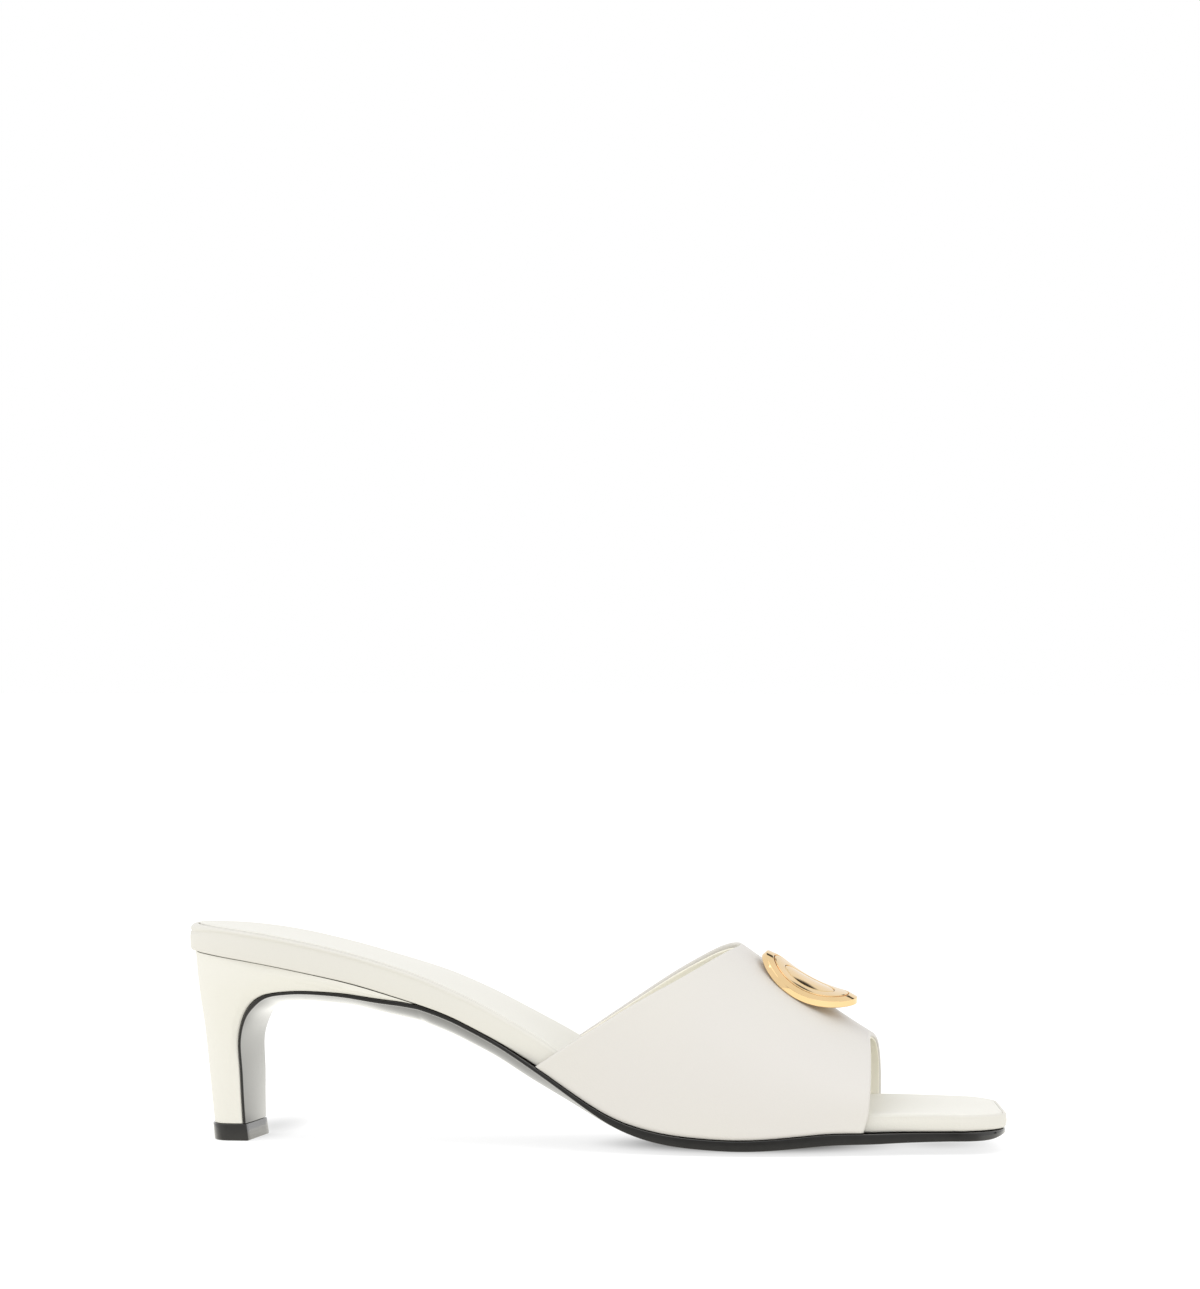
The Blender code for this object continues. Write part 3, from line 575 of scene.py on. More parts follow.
class Effects:
    """Node groups that the materials share."""

    def __init__(self) -> None:
        """Builds every group once."""
        self.grain = self.leather_grain()
        self.drift = self.tone_drift()
        self.wear = self.polish_wear()

    @staticmethod
    def leather_grain() -> bpy.types.NodeTree:
        """Pores and fine creases of smooth hide: a height and a mask of the pores."""
        tree, given, out = effect_group(
            "leather grain", {"Cells per metre": 1800.0, "Crease share": 0.4}, ("Height", "Pores"))
        place = tree.node("NodeTexCoord").outputs["Object"]
        cells = tree.node("NodeTexVoronoi", {"feature": "SMOOTH_F1"}, Vector=place,
                          Scale=given.outputs[0], Smoothness=0.35, Randomness=0.9)
        creases = tree.node("NodeTexNoise", Vector=place, Detail=3.0, Roughness=0.6, Distortion=0.6,
                            Scale=tree.math("MULTIPLY", given.outputs[0], 0.22))
        domes = tree.ramp(cells.outputs["Distance"], 0.05, 0.75, 1.0, 0.0)
        folds = tree.ramp(creases.outputs[0], 0.35, 0.65)
        share = given.outputs[1]
        height = tree.math("ADD", tree.math("MULTIPLY", domes, tree.math("SUBTRACT", 1.0, share)),
                           tree.math("MULTIPLY", folds, share))
        tree.fill(out, Height=height, Pores=tree.ramp(cells.outputs["Distance"], 0.45, 0.8))
        return tree.tree

    @staticmethod
    def tone_drift() -> bpy.types.NodeTree:
        """Slow change of tone over a piece, and a finer mottle."""
        tree, given, out = effect_group(
            "tone drift", {"Patches per metre": 22.0, "Mottle per metre": 420.0}, ("Drift", "Mottle"))
        place = tree.node("NodeTexCoord").outputs["Object"]
        slow = tree.node("NodeTexNoise", Vector=place, Scale=given.outputs[0], Detail=1.0)
        fine = tree.node("NodeTexNoise", Vector=place, Scale=given.outputs[1], Detail=4.0)
        tree.fill(out, Drift=tree.ramp(slow.outputs[0], 0.3, 0.7),
                  Mottle=tree.ramp(fine.outputs[0], 0.25, 0.75))
        return tree.tree

    @staticmethod
    def polish_wear() -> bpy.types.NodeTree:
        """Hazy rub marks on a polished face: a streak mask and a height."""
        tree, given, out = effect_group(
            "polish wear", {"Streaks per metre": 260.0, "Stretch": 9.0}, ("Haze", "Height"))
        place = tree.node("NodeTexCoord").outputs["Object"]
        sizes = tree.node("NodeCombineXYZ", X=1.0, Y=given.outputs[1], Z=1.0)
        drawn = tree.vector("MULTIPLY", place, sizes.outputs[0])
        streaks = tree.node("NodeTexNoise", Vector=drawn, Scale=given.outputs[0], Detail=4.0)
        clouds = tree.node("NodeTexNoise", Vector=place, Scale=40.0, Detail=2.0)
        haze = tree.math("MULTIPLY", tree.ramp(streaks.outputs[0], 0.42, 0.75),
                         tree.ramp(clouds.outputs[0], 0.35, 0.7))
        tree.fill(out, Haze=haze, Height=streaks.outputs[0])
        return tree.tree


@dataclass(frozen=True)
class Finish:
    """Base of every finish: a named material with one Principled shader."""

    name: str
    colour: Triple
    roughness: float

    def build(self, effects: Effects) -> bpy.types.Material:
        """New material of this finish.

        Args:
            effects: the shared node groups.

        Returns:
            The material.
        """
        material = bpy.data.materials.new(self.name)
        material.use_nodes = True
        self.paint(Tree(material.node_tree), material.node_tree.nodes["Principled BSDF"], effects)
        return material

    def paint(self, tree: Tree, shader: bpy.types.Node, effects: Effects) -> None:
        """Fills in the shader."""
        raise NotImplementedError


@dataclass(frozen=True)
class Leather(Finish):
    """Smooth hide: two near tones, pores, fine creases and a soft sheen."""

    tone: Triple = (0.80, 0.79, 0.76)
    cells: float = 1800.0
    crease_share: float = 0.4
    depth: float = 0.02
    pore_shade: float = 0.04
    pore_tone: float = 0.9        # tone in the pores against the tone round them
    pore_roughness: float = 0.12
    specular: float = 0.4

    def paint(self, tree: Tree, shader: bpy.types.Node, effects: Effects) -> None:
        """Fills in the shader."""
        grain = tree.node("NodeGroup", {"node_tree": effects.grain}, Cells_per_metre=self.cells,
                          Crease_share=self.crease_share)
        drift = tree.node("NodeGroup", {"node_tree": effects.drift})
        base = tree.mix(drift.outputs["Drift"], self.colour, self.tone)
        dark = tuple(self.pore_tone * c for c in self.tone)
        speckled = tree.mix(tree.math("MULTIPLY", drift.outputs["Mottle"], 0.5 * self.pore_shade), base, dark)
        pores = tree.math("MULTIPLY", grain.outputs["Pores"], self.pore_shade)
        rough = tree.math("MULTIPLY", grain.outputs["Pores"], self.pore_roughness)
        bump = tree.node("NodeBump", Strength=1.0, Distance=self.depth * MM, Height=grain.outputs["Height"])
        tree.fill(shader, Base_Color=tree.mix(pores, speckled, dark),
                  Roughness=tree.math("ADD", rough, self.roughness), Normal=bump.outputs[0],
                  Specular_IOR_Level=self.specular)


@dataclass(frozen=True)
class Polish(Finish):
    """Dark polished or moulded face with faint rub marks and mat upright edges."""

    haze: float = 0.10
    stretch: float = 9.0
    specular: float = 0.5
    coat: float = 0.0
    coat_roughness: float = 0.08
    depth: float = 0.004
    upright: Pair = (0.75, 0.92)  # edges that face sideways are inked, not polished
    edge_roughness: float = 0.25
    rub_gain: float = 1.3         # rubbed spots are this much paler
    rub_lift: float = 0.001

    def paint(self, tree: Tree, shader: bpy.types.Node, effects: Effects) -> None:
        """Fills in the shader."""
        wear = tree.node("NodeGroup", {"node_tree": effects.wear}, Stretch=self.stretch)
        drift = tree.node("NodeGroup", {"node_tree": effects.drift})
        rough = tree.math("ADD", tree.math("MULTIPLY", wear.outputs["Haze"], self.haze), self.roughness)
        facing = tree.node("NodeSeparateXYZ", Vector=tree.node("NodeNewGeometry").outputs["Normal"])
        upright = tree.ramp(tree.math("ABSOLUTE", facing.outputs["Y"]), *self.upright)
        light = tuple(self.rub_gain * c + self.rub_lift for c in self.colour)
        bump = tree.node("NodeBump", Strength=1.0, Distance=self.depth * MM, Height=wear.outputs["Height"])
        tree.fill(shader, Base_Color=tree.mix(drift.outputs["Mottle"], self.colour, light),
                  Roughness=tree.math("ADD", rough, tree.math("MULTIPLY", upright, self.edge_roughness)),
                  Coat_Weight=tree.math("MULTIPLY", tree.math("SUBTRACT", 1.0, upright), self.coat),
                  Normal=bump.outputs[0], Specular_IOR_Level=self.specular,
                  Coat_Roughness=self.coat_roughness)


@dataclass(frozen=True)
class Metal(Finish):
    """Polished plated metal with a faint mottle in its gloss."""

    deep: Triple = (0.80, 0.58, 0.30)
    stretch: float = 3.0
    patches: float = 90.0
    haze: float = 0.08

    def paint(self, tree: Tree, shader: bpy.types.Node, effects: Effects) -> None:
        """Fills in the shader."""
        wear = tree.node("NodeGroup", {"node_tree": effects.wear}, Stretch=self.stretch)
        drift = tree.node("NodeGroup", {"node_tree": effects.drift}, Patches_per_metre=self.patches)
        rough = tree.math("ADD", tree.math("MULTIPLY", wear.outputs["Haze"], self.haze), self.roughness)
        tree.fill(shader, Base_Color=tree.mix(drift.outputs["Drift"], self.colour, self.deep),
                  Roughness=rough, Metallic=1.0)


# ---------------------------------------------------------------- footbed and sock
class BandRow(NamedTuple):
    """Point of the band's cross-section.

    Inset and lift each have a plain part, a part in outer lip radii and one in creases.
    """

    share: float              # of the band's height, 1 at the rim
    inset: float
    inset_radii: float = 0.0
    inset_creases: float = 0.0
    lift: float = 0.0
    lift_radii: float = 0.0


@dataclass(frozen=True)
class Lip:
    """Rolled edge of the wrap: full at the back, tight along the seat, softer at the ball."""

    back_radius: float = 1.9
    back_length: Pair = (1.0, 15.0)                     # where the roll tightens from the back
    heel_radius: float = 0.95
    ball_radius: float = 1.3
    toe_radius: float = 0.55
    toe_length: Pair = (150.0, 200.0)                   # where it tightens again, under the vamp
    inner_radius: float = 0.5
    heel_crease: float = 0.34
    shank_length: Pair = (50.0, 120.0)                  # from the heel seat to the ball
    heel_gap: float = 0.34
    toe_gap: float = 0.05
    heel_proud: float = 0.45
    toe_proud: float = 0.2

    def toe_share(self, x: Array) -> Array:
        """0 along the heel seat, 1 under the vamp and at the toe."""
        return smoothstep(*self.shank_length, x)

    def radius(self, x: Array) -> Array:
        """Radius of the roll's outer side."""
        flank = self.heel_radius + (self.ball_radius - self.heel_radius) * self.toe_share(x)
        flank = flank + (self.toe_radius - self.ball_radius) * smoothstep(*self.toe_length, x)
        return flank + (self.back_radius - self.heel_radius) * (1.0 - smoothstep(*self.back_length, x))

    def crease(self, x: Array) -> Array:
        """Depth of the crease under the roll."""
        return self.heel_crease * (1.0 - self.toe_share(x))

    def proud(self, x: Array) -> Array:
        """How far the sock stands over the roll."""
        return self.heel_proud + (self.toe_proud - self.heel_proud) * self.toe_share(x)

    def sock_inset(self, x: Array) -> Array:
        """Where the sock's edge lies."""
        gap = self.heel_gap + (self.toe_gap - self.heel_gap) * self.toe_share(x)
        return self.radius(x) + self.inner_radius + gap


@dataclass(frozen=True)
class Footbed:
    """Board and padding wrapped in leather, with a rolled lip round the sock."""

    last: Last
    lip: Lip
    foot_inset: float = 0.9
    recess_depth: float = 1.3
    wall_lean: float = 0.02       # the recess is this much narrower at its floor
    base_inset: float = 1.2       # outer rung of the underside
    floor_inset: float = 0.1      # outer rung of the recess's floor, inside the sock's edge
    across: int = 17

    def rows(self) -> list[BandRow]:
        """Cross-section of the band from its foot to the recess."""
        inner = self.lip.inner_radius
        rows = [BandRow(0.0, self.foot_inset), BandRow(0.0, 0.45, lift=0.08), BandRow(0.0, 0.16, lift=0.3),
                BandRow(0.0, 0.03, lift=0.7), BandRow(0.3, -0.10), BandRow(0.5, -0.14),
                BandRow(0.66, -0.06, inset_creases=0.3)]
        for creases, lift in ((0.95, -0.6), (1.0, -0.3), (0.45, -0.08)):
            rows.append(BandRow(1.0, 0.0, inset_creases=creases, lift=lift, lift_radii=-1.0))
        for turn in np.radians(np.linspace(8.0, 90.0, 9)):
            rows.append(BandRow(1.0, 0.0, inset_radii=1.0 - math.cos(turn), lift_radii=math.sin(turn) - 1.0))
        for turn in np.radians(np.linspace(15.0, 80.0, 6)):
            rows.append(BandRow(1.0, inner * math.sin(turn), inset_radii=1.0,
                                lift=inner * (math.cos(turn) - 1.0)))
        rows.append(BandRow(1.0, inner + self.wall_lean, inset_radii=1.0, lift=-self.recess_depth))
        return rows

    def shell(self) -> Shell:
        """Closed mesh of the wrapped footbed."""
        last, lip, shares = self.last, self.lip, np.linspace(0.0, 1.0, self.across)

        def level(grid: Array, share: float, lift: Array) -> Array:
            x, v = grid[..., 0], grid[..., 2]
            return last.under(x, v) + share * (last.rim(x, v) - last.under(x, v)) + lift

        def around(row: BandRow) -> Array:
            grid = last.leather(lambda x: row.inset + row.inset_radii * lip.radius(x)
                                + row.inset_creases * lip.crease(x), shares)
            lift = row.lift + row.lift_radii * lip.radius(grid[..., 0])
            return border(raised(grid, level(grid, row.share, lift)))

        hollow = last.leather(lambda x: lip.sock_inset(x) + self.floor_inset, shares)
        dish = last.seat_dish(hollow[..., 0], hollow[..., 2])
        floor = raised(hollow, level(hollow, 1.0, -self.recess_depth) - dish)
        base = last.ladder(lambda x: np.full_like(x, -self.base_inset), shares)
        return closed_shell(floor, [around(row) for row in self.rows()],
                            raised(base, level(base, 0.0, 0.0)))


@dataclass(frozen=True)
class Sock:
    """Padded leather sock; its half-round edge stands over the footbed's lip at the heel."""

    last: Last
    lip: Lip
    edge_radius: float = 0.55
    thickness: float = 1.2
    foot: tuple[Pair, ...] = ((0.25, 0.0), (0.12, 0.1))  # inset and lift of its rings
    top_inset: float = 0.3        # outer rung of the top, past the round of the edge
    base_inset: float = 0.6       # and of the underside
    across: int = 33

    def shell(self) -> Shell:
        """Closed mesh of the sock."""
        last, lip, shares, r = self.last, self.lip, even_to_edges(self.across), self.edge_radius

        def face(inset: float, lift: float) -> Array:
            grid = last.leather(lambda x: lip.sock_inset(x) + inset, shares)
            x, v = grid[..., 0], grid[..., 2]
            return raised(grid, last.rim(x, v) + lip.proud(x) - last.seat_dish(x, v) + lift)

        rings = [border(face(inset, lift - self.thickness)) for inset, lift in self.foot]
        for turn in np.radians(np.linspace(-20.0, 85.0, 10)):
            rings.append(border(face(r * (1.0 - math.cos(turn)), r * (math.sin(turn) - 1.0))))
        return closed_shell(face(r + self.top_inset, 0.0), rings, face(self.base_inset, -self.thickness))


# ---------------------------------------------------------------- heel, flap and sole
class HeelRow(NamedTuple):
    """One level of the heel and of the sole's flap down its breast.

    x, z is the inner face of the flap, lateral and medial its half-widths there,
    back_z where the heel's section reaches the back line, body its widest half-width
    and turn the depth of its rounded back.
    """

    x: float
    z: float
    lateral: float
    medial: float
    back_z: float
    body: float
    turn: float


BREAST = table(HeelRow,
    (18.3, 5.1, 12.6, 12.6, 5.1, 12.4, 6.0), (18.0, 12.7, 13.4, 13.4, 12.7, 13.2, 6.9),
    (17.7, 22.0, 14.3, 14.3, 22.3, 14.3, 8.8), (17.5, 29.5, 15.0, 15.0, 31.0, 15.6, 10.6),
    (18.5, 34.1, 16.2, 16.2, 36.5, 17.2, 12.0), (20.7, 38.5, 18.4, 18.4, 42.0, 19.6, 14.3),
    (23.2, 41.2, 20.2, 20.2, 45.2, 21.3, 16.2), (26.2, 42.9, 21.6, 21.3, 47.9, 22.6, 17.9),
    (31.1, 43.9, 22.2, 21.8, 50.6, 23.6, 20.0), (36.1, 44.3, 22.4, 21.8, 52.1, 24.2, 22.0),
    (43.6, 44.2, 22.5, 21.6, 53.4, 24.6, 23.6), (51.0, 43.7, 22.6, 21.3, 54.4, 24.8, 24.6),
    (60.5, 42.4, 22.8, 21.0, 55.2, 25.0, 25.0), (68.0, 41.5, 23.1, 20.6, 55.6, 25.0, 25.0),
    (72.5, 40.7, 23.2, 20.3, 55.7, 25.0, 25.0))


@dataclass(frozen=True)
class Twist:
    """The lower heel stands slightly turned, its medial side further forward."""

    rate: float = 0.03
    lateral_edge: float = -18.0
    fade: Pair = (33.0, 44.0)     # heights between which the turn runs out

    def turned(self, points: Array) -> Array:
        """Points of the heel in their turned place."""
        x, y, z = points[..., 0], points[..., 1], points[..., 2]
        share = 1.0 - smoothstep(*self.fade, z)
        return joined(x + self.rate * (y - self.lateral_edge) * share, y, z)


@dataclass(frozen=True)
class Breast:
    """Smooth run of levels through the breast table."""

    rows: tuple[HeelRow, ...] = BREAST

    @cached_property
    def distance(self) -> Array:
        """Distance of each row along the breast from its foot."""
        steps = np.hypot(np.diff([row.x for row in self.rows]), np.diff([row.z for row in self.rows]))
        return np.concatenate([[0.0], np.cumsum(steps)])

    @cached_property
    def curves(self) -> dict[str, Spline]:
        """A curve along the breast for each column of the table."""
        return {name: Spline(self.distance, [getattr(row, name) for row in self.rows])
                for name in HeelRow._fields}

    def at(self, distance: float) -> HeelRow:
        """The level at a distance along the breast."""
        return HeelRow(*(float(self.curves[name](distance)) for name in HeelRow._fields))


@dataclass(frozen=True)
class DSection:
    """Section of heel and top lift: round at the back, straight in front."""

    roundness: float = 2.3
    back_steps: int = 26
    side_steps: int = 12
    corner_steps: int = 4
    front_steps: int = 9
    corner: float = 0.55
    most_turn: float = 0.92       # share of the chord that the round back may take

    def ring(self, back: float, front: float, body: float, lateral: float, medial: float,
             turn: float) -> Array:
        """Rows of (x, y, share of the chord), from the back round the lateral side.

        Args:
            back: x of the back.
            front: x of the straight front.
            body: widest half-width.
            lateral: half-width of the front on the lateral side.
            medial: half-width of the front on the medial side.
            turn: depth of the rounded back.

        Returns:
            A closed ring without a repeated end.
        """
        chord = front - back
        turn = min(turn, self.most_turn * chord)
        back_shares = turn / chord * (1.0 - np.cos(np.linspace(0.0, QUARTER_TURN, self.back_steps + 1)))
        side_end = 1.0 - self.corner / chord
        side_shares = np.linspace(turn / chord, side_end, self.side_steps + 1)[1:]
        shares = np.concatenate([back_shares, side_shares])

        def half(share: Array, front_half: float) -> Array:
            depth = np.clip(share * chord, 0.0, None)
            inner = np.clip(1.0 - depth / turn, 0.0, 1.0)
            curve = body * (1.0 - inner ** self.roundness) ** (1.0 / self.roundness)
            straight = body + (front_half - body) * (depth - turn) / (chord - turn)
            return np.where(depth < turn, curve, straight)

        angle = np.linspace(0.0, QUARTER_TURN, self.corner_steps + 1)[1:]
        corner_share = side_end + self.corner / chord * np.sin(angle)

        def flank(sign: int, front_half: float) -> Array:
            y = np.concatenate([half(shares, front_half), front_half - self.corner * (1 - np.cos(angle))])
            s = np.concatenate([shares, corner_share])
            return joined(back + s * chord, sign * y, s)

        low, high = flank(-1, lateral), flank(1, medial)
        t = np.linspace(0.0, 1.0, self.front_steps + 1)[1:-1, None]
        across = low[-1] + (high[-1] - low[-1]) * t
        return np.concatenate([low, across, high[:0:-1]])


@dataclass(frozen=True)
class Heel:
    """Leather-covered block from the narrow tip to the seat, with wings along the shank."""

    last: Last
    breast: Breast
    twist: Twist = Twist()
    section: DSection = DSection()
    back_low: Pair = (7.7, 5.1)
    back_high: Pair = (2.4, 55.8)
    wing_end: float = 70.6        # the wings run out to a thin edge under the footbed
    wing_edge: float = 0.4        # which reaches this much further
    top_inset: float = 1.2
    seam: float = 0.2             # open joint to the footbed and to the sole
    seam_rise: Pair = (30.0, 36.0)    # heights between which it opens upwards too
    foot_inset: float = 0.25      # the leather turns under above the top lift
    foot_drop: float = 0.15
    levels: int = 96

    def back_x(self, z: float) -> float:
        """The heel's straight back line."""
        (low_x, low_z), (high_x, high_z) = self.back_low, self.back_high
        return low_x + (high_x - low_x) * (z - low_z) / (high_z - low_z)

    def shell(self) -> Shell:
        """Closed mesh of the heel."""
        breast, section = self.breast, self.section
        length = float(bisect([0.0], [breast.distance[-1]],
                              lambda d: breast.curves["x"](d) < self.wing_end)[0])
        rings = [self.foot_ring(breast.rows[0])]
        for row in (breast.at(share * length) for share in np.linspace(0.0, 1.0, self.levels)):
            ring = section.ring(self.back_x(row.back_z), row.x - self.seam, row.body,
                                row.lateral - self.seam, row.medial - self.seam, row.turn)
            lift = self.seam * smoothstep(*self.seam_rise, row.z)
            rings.append(raised(ring, row.back_z + ring[:, 2] * (row.z + lift - row.back_z)))
        top = breast.at(length)
        half = self.last.seat_radius - self.top_inset
        ring = section.ring(self.back_high[0], self.wing_end + self.wing_edge, half, top.lateral,
                            top.medial, half)
        x, y = ring[:, 0], ring[:, 1]
        rings.append(raised(ring, self.last.under(x, self.last.share_across(x, y)) - self.seam))
        rings = [self.twist.turned(ring) for ring in rings]
        middle = 0.5 * (self.back_low[0] + breast.rows[0].x)
        seat_x = self.last.seat_radius
        return turned_shell(rings, np.array([middle, 0.0, breast.rows[0].z]),
                            np.array([seat_x, 0.0, float(self.last.under(seat_x)) - self.seam]))

    def foot_ring(self, tip: HeelRow) -> Array:
        """The lowest ring, drawn in."""
        inset = self.foot_inset
        ring = self.section.ring(self.back_low[0] + inset, tip.x - GAP, tip.body - inset,
                                 tip.lateral - GAP - inset, tip.medial - GAP - inset, tip.turn)
        return raised(ring, tip.z - self.foot_drop)


@dataclass(frozen=True)
class TopLift:
    """Replaceable rubber tip of the heel."""

    height: float = 4.9
    top: Triple = (7.2, 19.2, 12.6)   # back x, front x, half-width
    foot: Triple = (7.7, 19.9, 12.6)
    turn: float = 6.0
    edge: float = 0.35
    twist: Twist = Twist()
    section: DSection = DSection(corner=0.3)

    def shell(self) -> Shell:
        """Closed mesh of the lift, with softened edges."""
        rings = []
        e = self.edge
        for level, inset in ((0.0, e), (0.3 * e, 0.3 * e), (e, 0.0), (self.height - 0.6 * e, 0.0),
                             (self.height - 0.15 * e, 0.2 * e), (self.height, 0.6 * e)):
            share = level / self.height
            back, front, half = (a + (b - a) * share for a, b in zip(self.foot, self.top))
            ring = self.section.ring(back + inset, front - inset, half - inset, half - inset,
                                     half - inset, self.turn)
            rings.append(self.twist.turned(raised(ring, level)))
        middle = 0.5 * (self.foot[0] + self.foot[1])
        return turned_shell(rings, np.array([middle, 0.0, 0.0]), np.array([middle, 0.0, self.height]))


class SoleRow(NamedTuple):
    """How far the sole reaches past the footbed, its edge and the depth of its belly."""

    x: float
    reach: float
    edge: float
    belly: float


@dataclass(frozen=True)
class Outsole:
    """Polished sole from the toe to the shank, carried on down the breast of the heel."""

    last: Last
    breast: Breast
    rows: tuple[SoleRow, ...] = table(SoleRow,
        (17.0, -0.8, 0.6, 0.1), (19.5, -0.8, 0.85, 0.8), (22.0, -0.8, 1.25, 1.5),
        (26.0, -0.8, 1.0, 2.2), (33.0, -0.8, 0.75, 2.8), (40.0, -0.8, 0.8, 3.2),
        (54.0, -0.8, 1.1, 3.6), (68.0, -0.8, 1.2, 4.7), (76.0, -0.7, 1.15, 5.2),
        (88.0, -0.3, 1.05, 5.4), (96.0, 0.2, 1.05, 5.4), (108.0, 2.0, 1.1, 5.5),
        (120.0, 2.5, 1.2, 4.3), (131.0, 2.5, 1.9, 3.2), (139.0, 2.5, 2.5, 2.5), (147.0, 2.5, 2.8, 2.1),
        (160.0, 2.5, 2.9, 1.8), (176.0, 2.5, 3.05, 1.5), (190.0, 2.5, 3.1, 1.2),
        (204.0, 2.0, 2.95, 0.9), (214.0, 1.0, 2.75, 0.7), (230.0, 0.5, 2.5, 0.5),
        (236.0, 0.3, 2.5, 0.4), (239.5, 0.0, 1.95, 0.3), (242.0, -0.3, 0.7, 0.2))
    belly_roundness: float = 2.0
    twist: Twist = Twist()
    bank_start: float = 50.0      # from here on the flap leans with the footbed
    shank_start: float = 73.5
    edge_radius: float = 0.28
    tread_softness: float = 0.25
    flap_levels: int = 120
    across: int = 41

    @cached_property
    def curves(self) -> dict[str, Spline]:
        """A curve along the shoe for each column of the table."""
        return {name: Spline.through(self.rows, name) for name in ("reach", "edge", "belly")}

    def thickness(self, x: Array, v: Array) -> Array:
        """Thickness at x and at v of the half-width."""
        belly = 1.0 - np.abs(v) ** self.belly_roundness
        return self.curves["edge"](x) + self.curves["belly"](x) * belly

    def inner_face(self, inset: float, shares: Array) -> tuple[Array, Array, Array]:
        """The face that is cemented to heel and footbed.

        Args:
            inset: how far in from the sole's edge.
            shares: where the points lie across it.

        Returns:
            Grids of points, of directions out of the face, and of (x, v).
        """
        levels = np.linspace(0.0, self.breast.distance[-1], self.flap_levels)
        flap = {name: curve(levels)[:, None] for name, curve in self.breast.curves.items()}
        x, z = flap["x"], flap["z"]
        v = 2.0 * shares[None, :] - 1.0
        y = v * (np.where(v < 0.0, flap["lateral"], flap["medial"]) - inset)
        along = unit(joined(np.gradient(x[:, 0]), np.gradient(z[:, 0])))
        flap_out = joined(along[:, 1], np.zeros(len(along)), -along[:, 0])
        shape = y.shape
        z = z - self.last.bank(x, v) * smoothstep(self.bank_start, self.shank_start, x)
        flap_points = self.twist.turned(joined(np.broadcast_to(x, shape), y, z))
        rungs = self.last.ladder(lambda s: self.curves["reach"](s) - inset, shares)
        rungs = rungs[rungs[..., 0].min(axis=1) > self.shank_start]
        under = raised(rungs, self.last.under(rungs[..., 0], rungs[..., 2]) - GAP)
        rise = self.last.under_curve.slope(rungs[..., 0])
        down = unit(joined(rise, np.zeros_like(rise), -np.ones_like(rise)))
        points = np.concatenate([flap_points, under])
        out = np.concatenate([np.broadcast_to(flap_out[:, None, :], flap_points.shape), down])
        where = np.concatenate([joined(np.broadcast_to(x, shape), np.broadcast_to(v, shape)),
                                joined(rungs[..., 0], rungs[..., 2])])
        return points, out, where

    def on_ground(self, points: Array) -> Array:
        """Points with the lowest stretch of the belly pressed flat, softly, at ground level."""
        k = self.tread_softness
        z = points[..., 2]
        points = points.copy()
        points[..., 2] = np.where(z > k, z, np.maximum(z + k, 0.0) ** 2 / (4.0 * k))
        return points

    def shell(self) -> Shell:
        """Closed mesh of the sole, with rounded edges."""
        shares = even_to_edges(self.across)
        r = self.edge_radius
        rings = []
        for inset, from_bottom, depth in ((0.9 * r, 1.0, 0.0), (0.3 * r, 1.0, -0.3 * r),
                                          (0.0, 1.0, -r), (0.0, 0.5, 0.0), (0.0, 0.0, r),
                                          (0.3 * r, 0.0, 0.3 * r)):
            points, out, where = self.inner_face(inset, shares)
            edge = self.curves["edge"](where[..., 0])
            rings.append(border(self.on_ground(points + out * (from_bottom * edge + depth)[..., None])))
        top, _, _ = self.inner_face(r, shares)
        points, out, where = self.inner_face(1.6 * r, shares)
        belly = points + out * self.thickness(where[..., 0], where[..., 1])[..., None]
        return closed_shell(top, rings, self.on_ground(belly))


# ---------------------------------------------------------------- upper
class LineRow(NamedTuple):
    """Point of a line seen from the side."""

    x: float
    z: float


class EdgeRow(NamedTuple):
    """Point of an edge's course round the upper."""

    turn: float
    offset: float


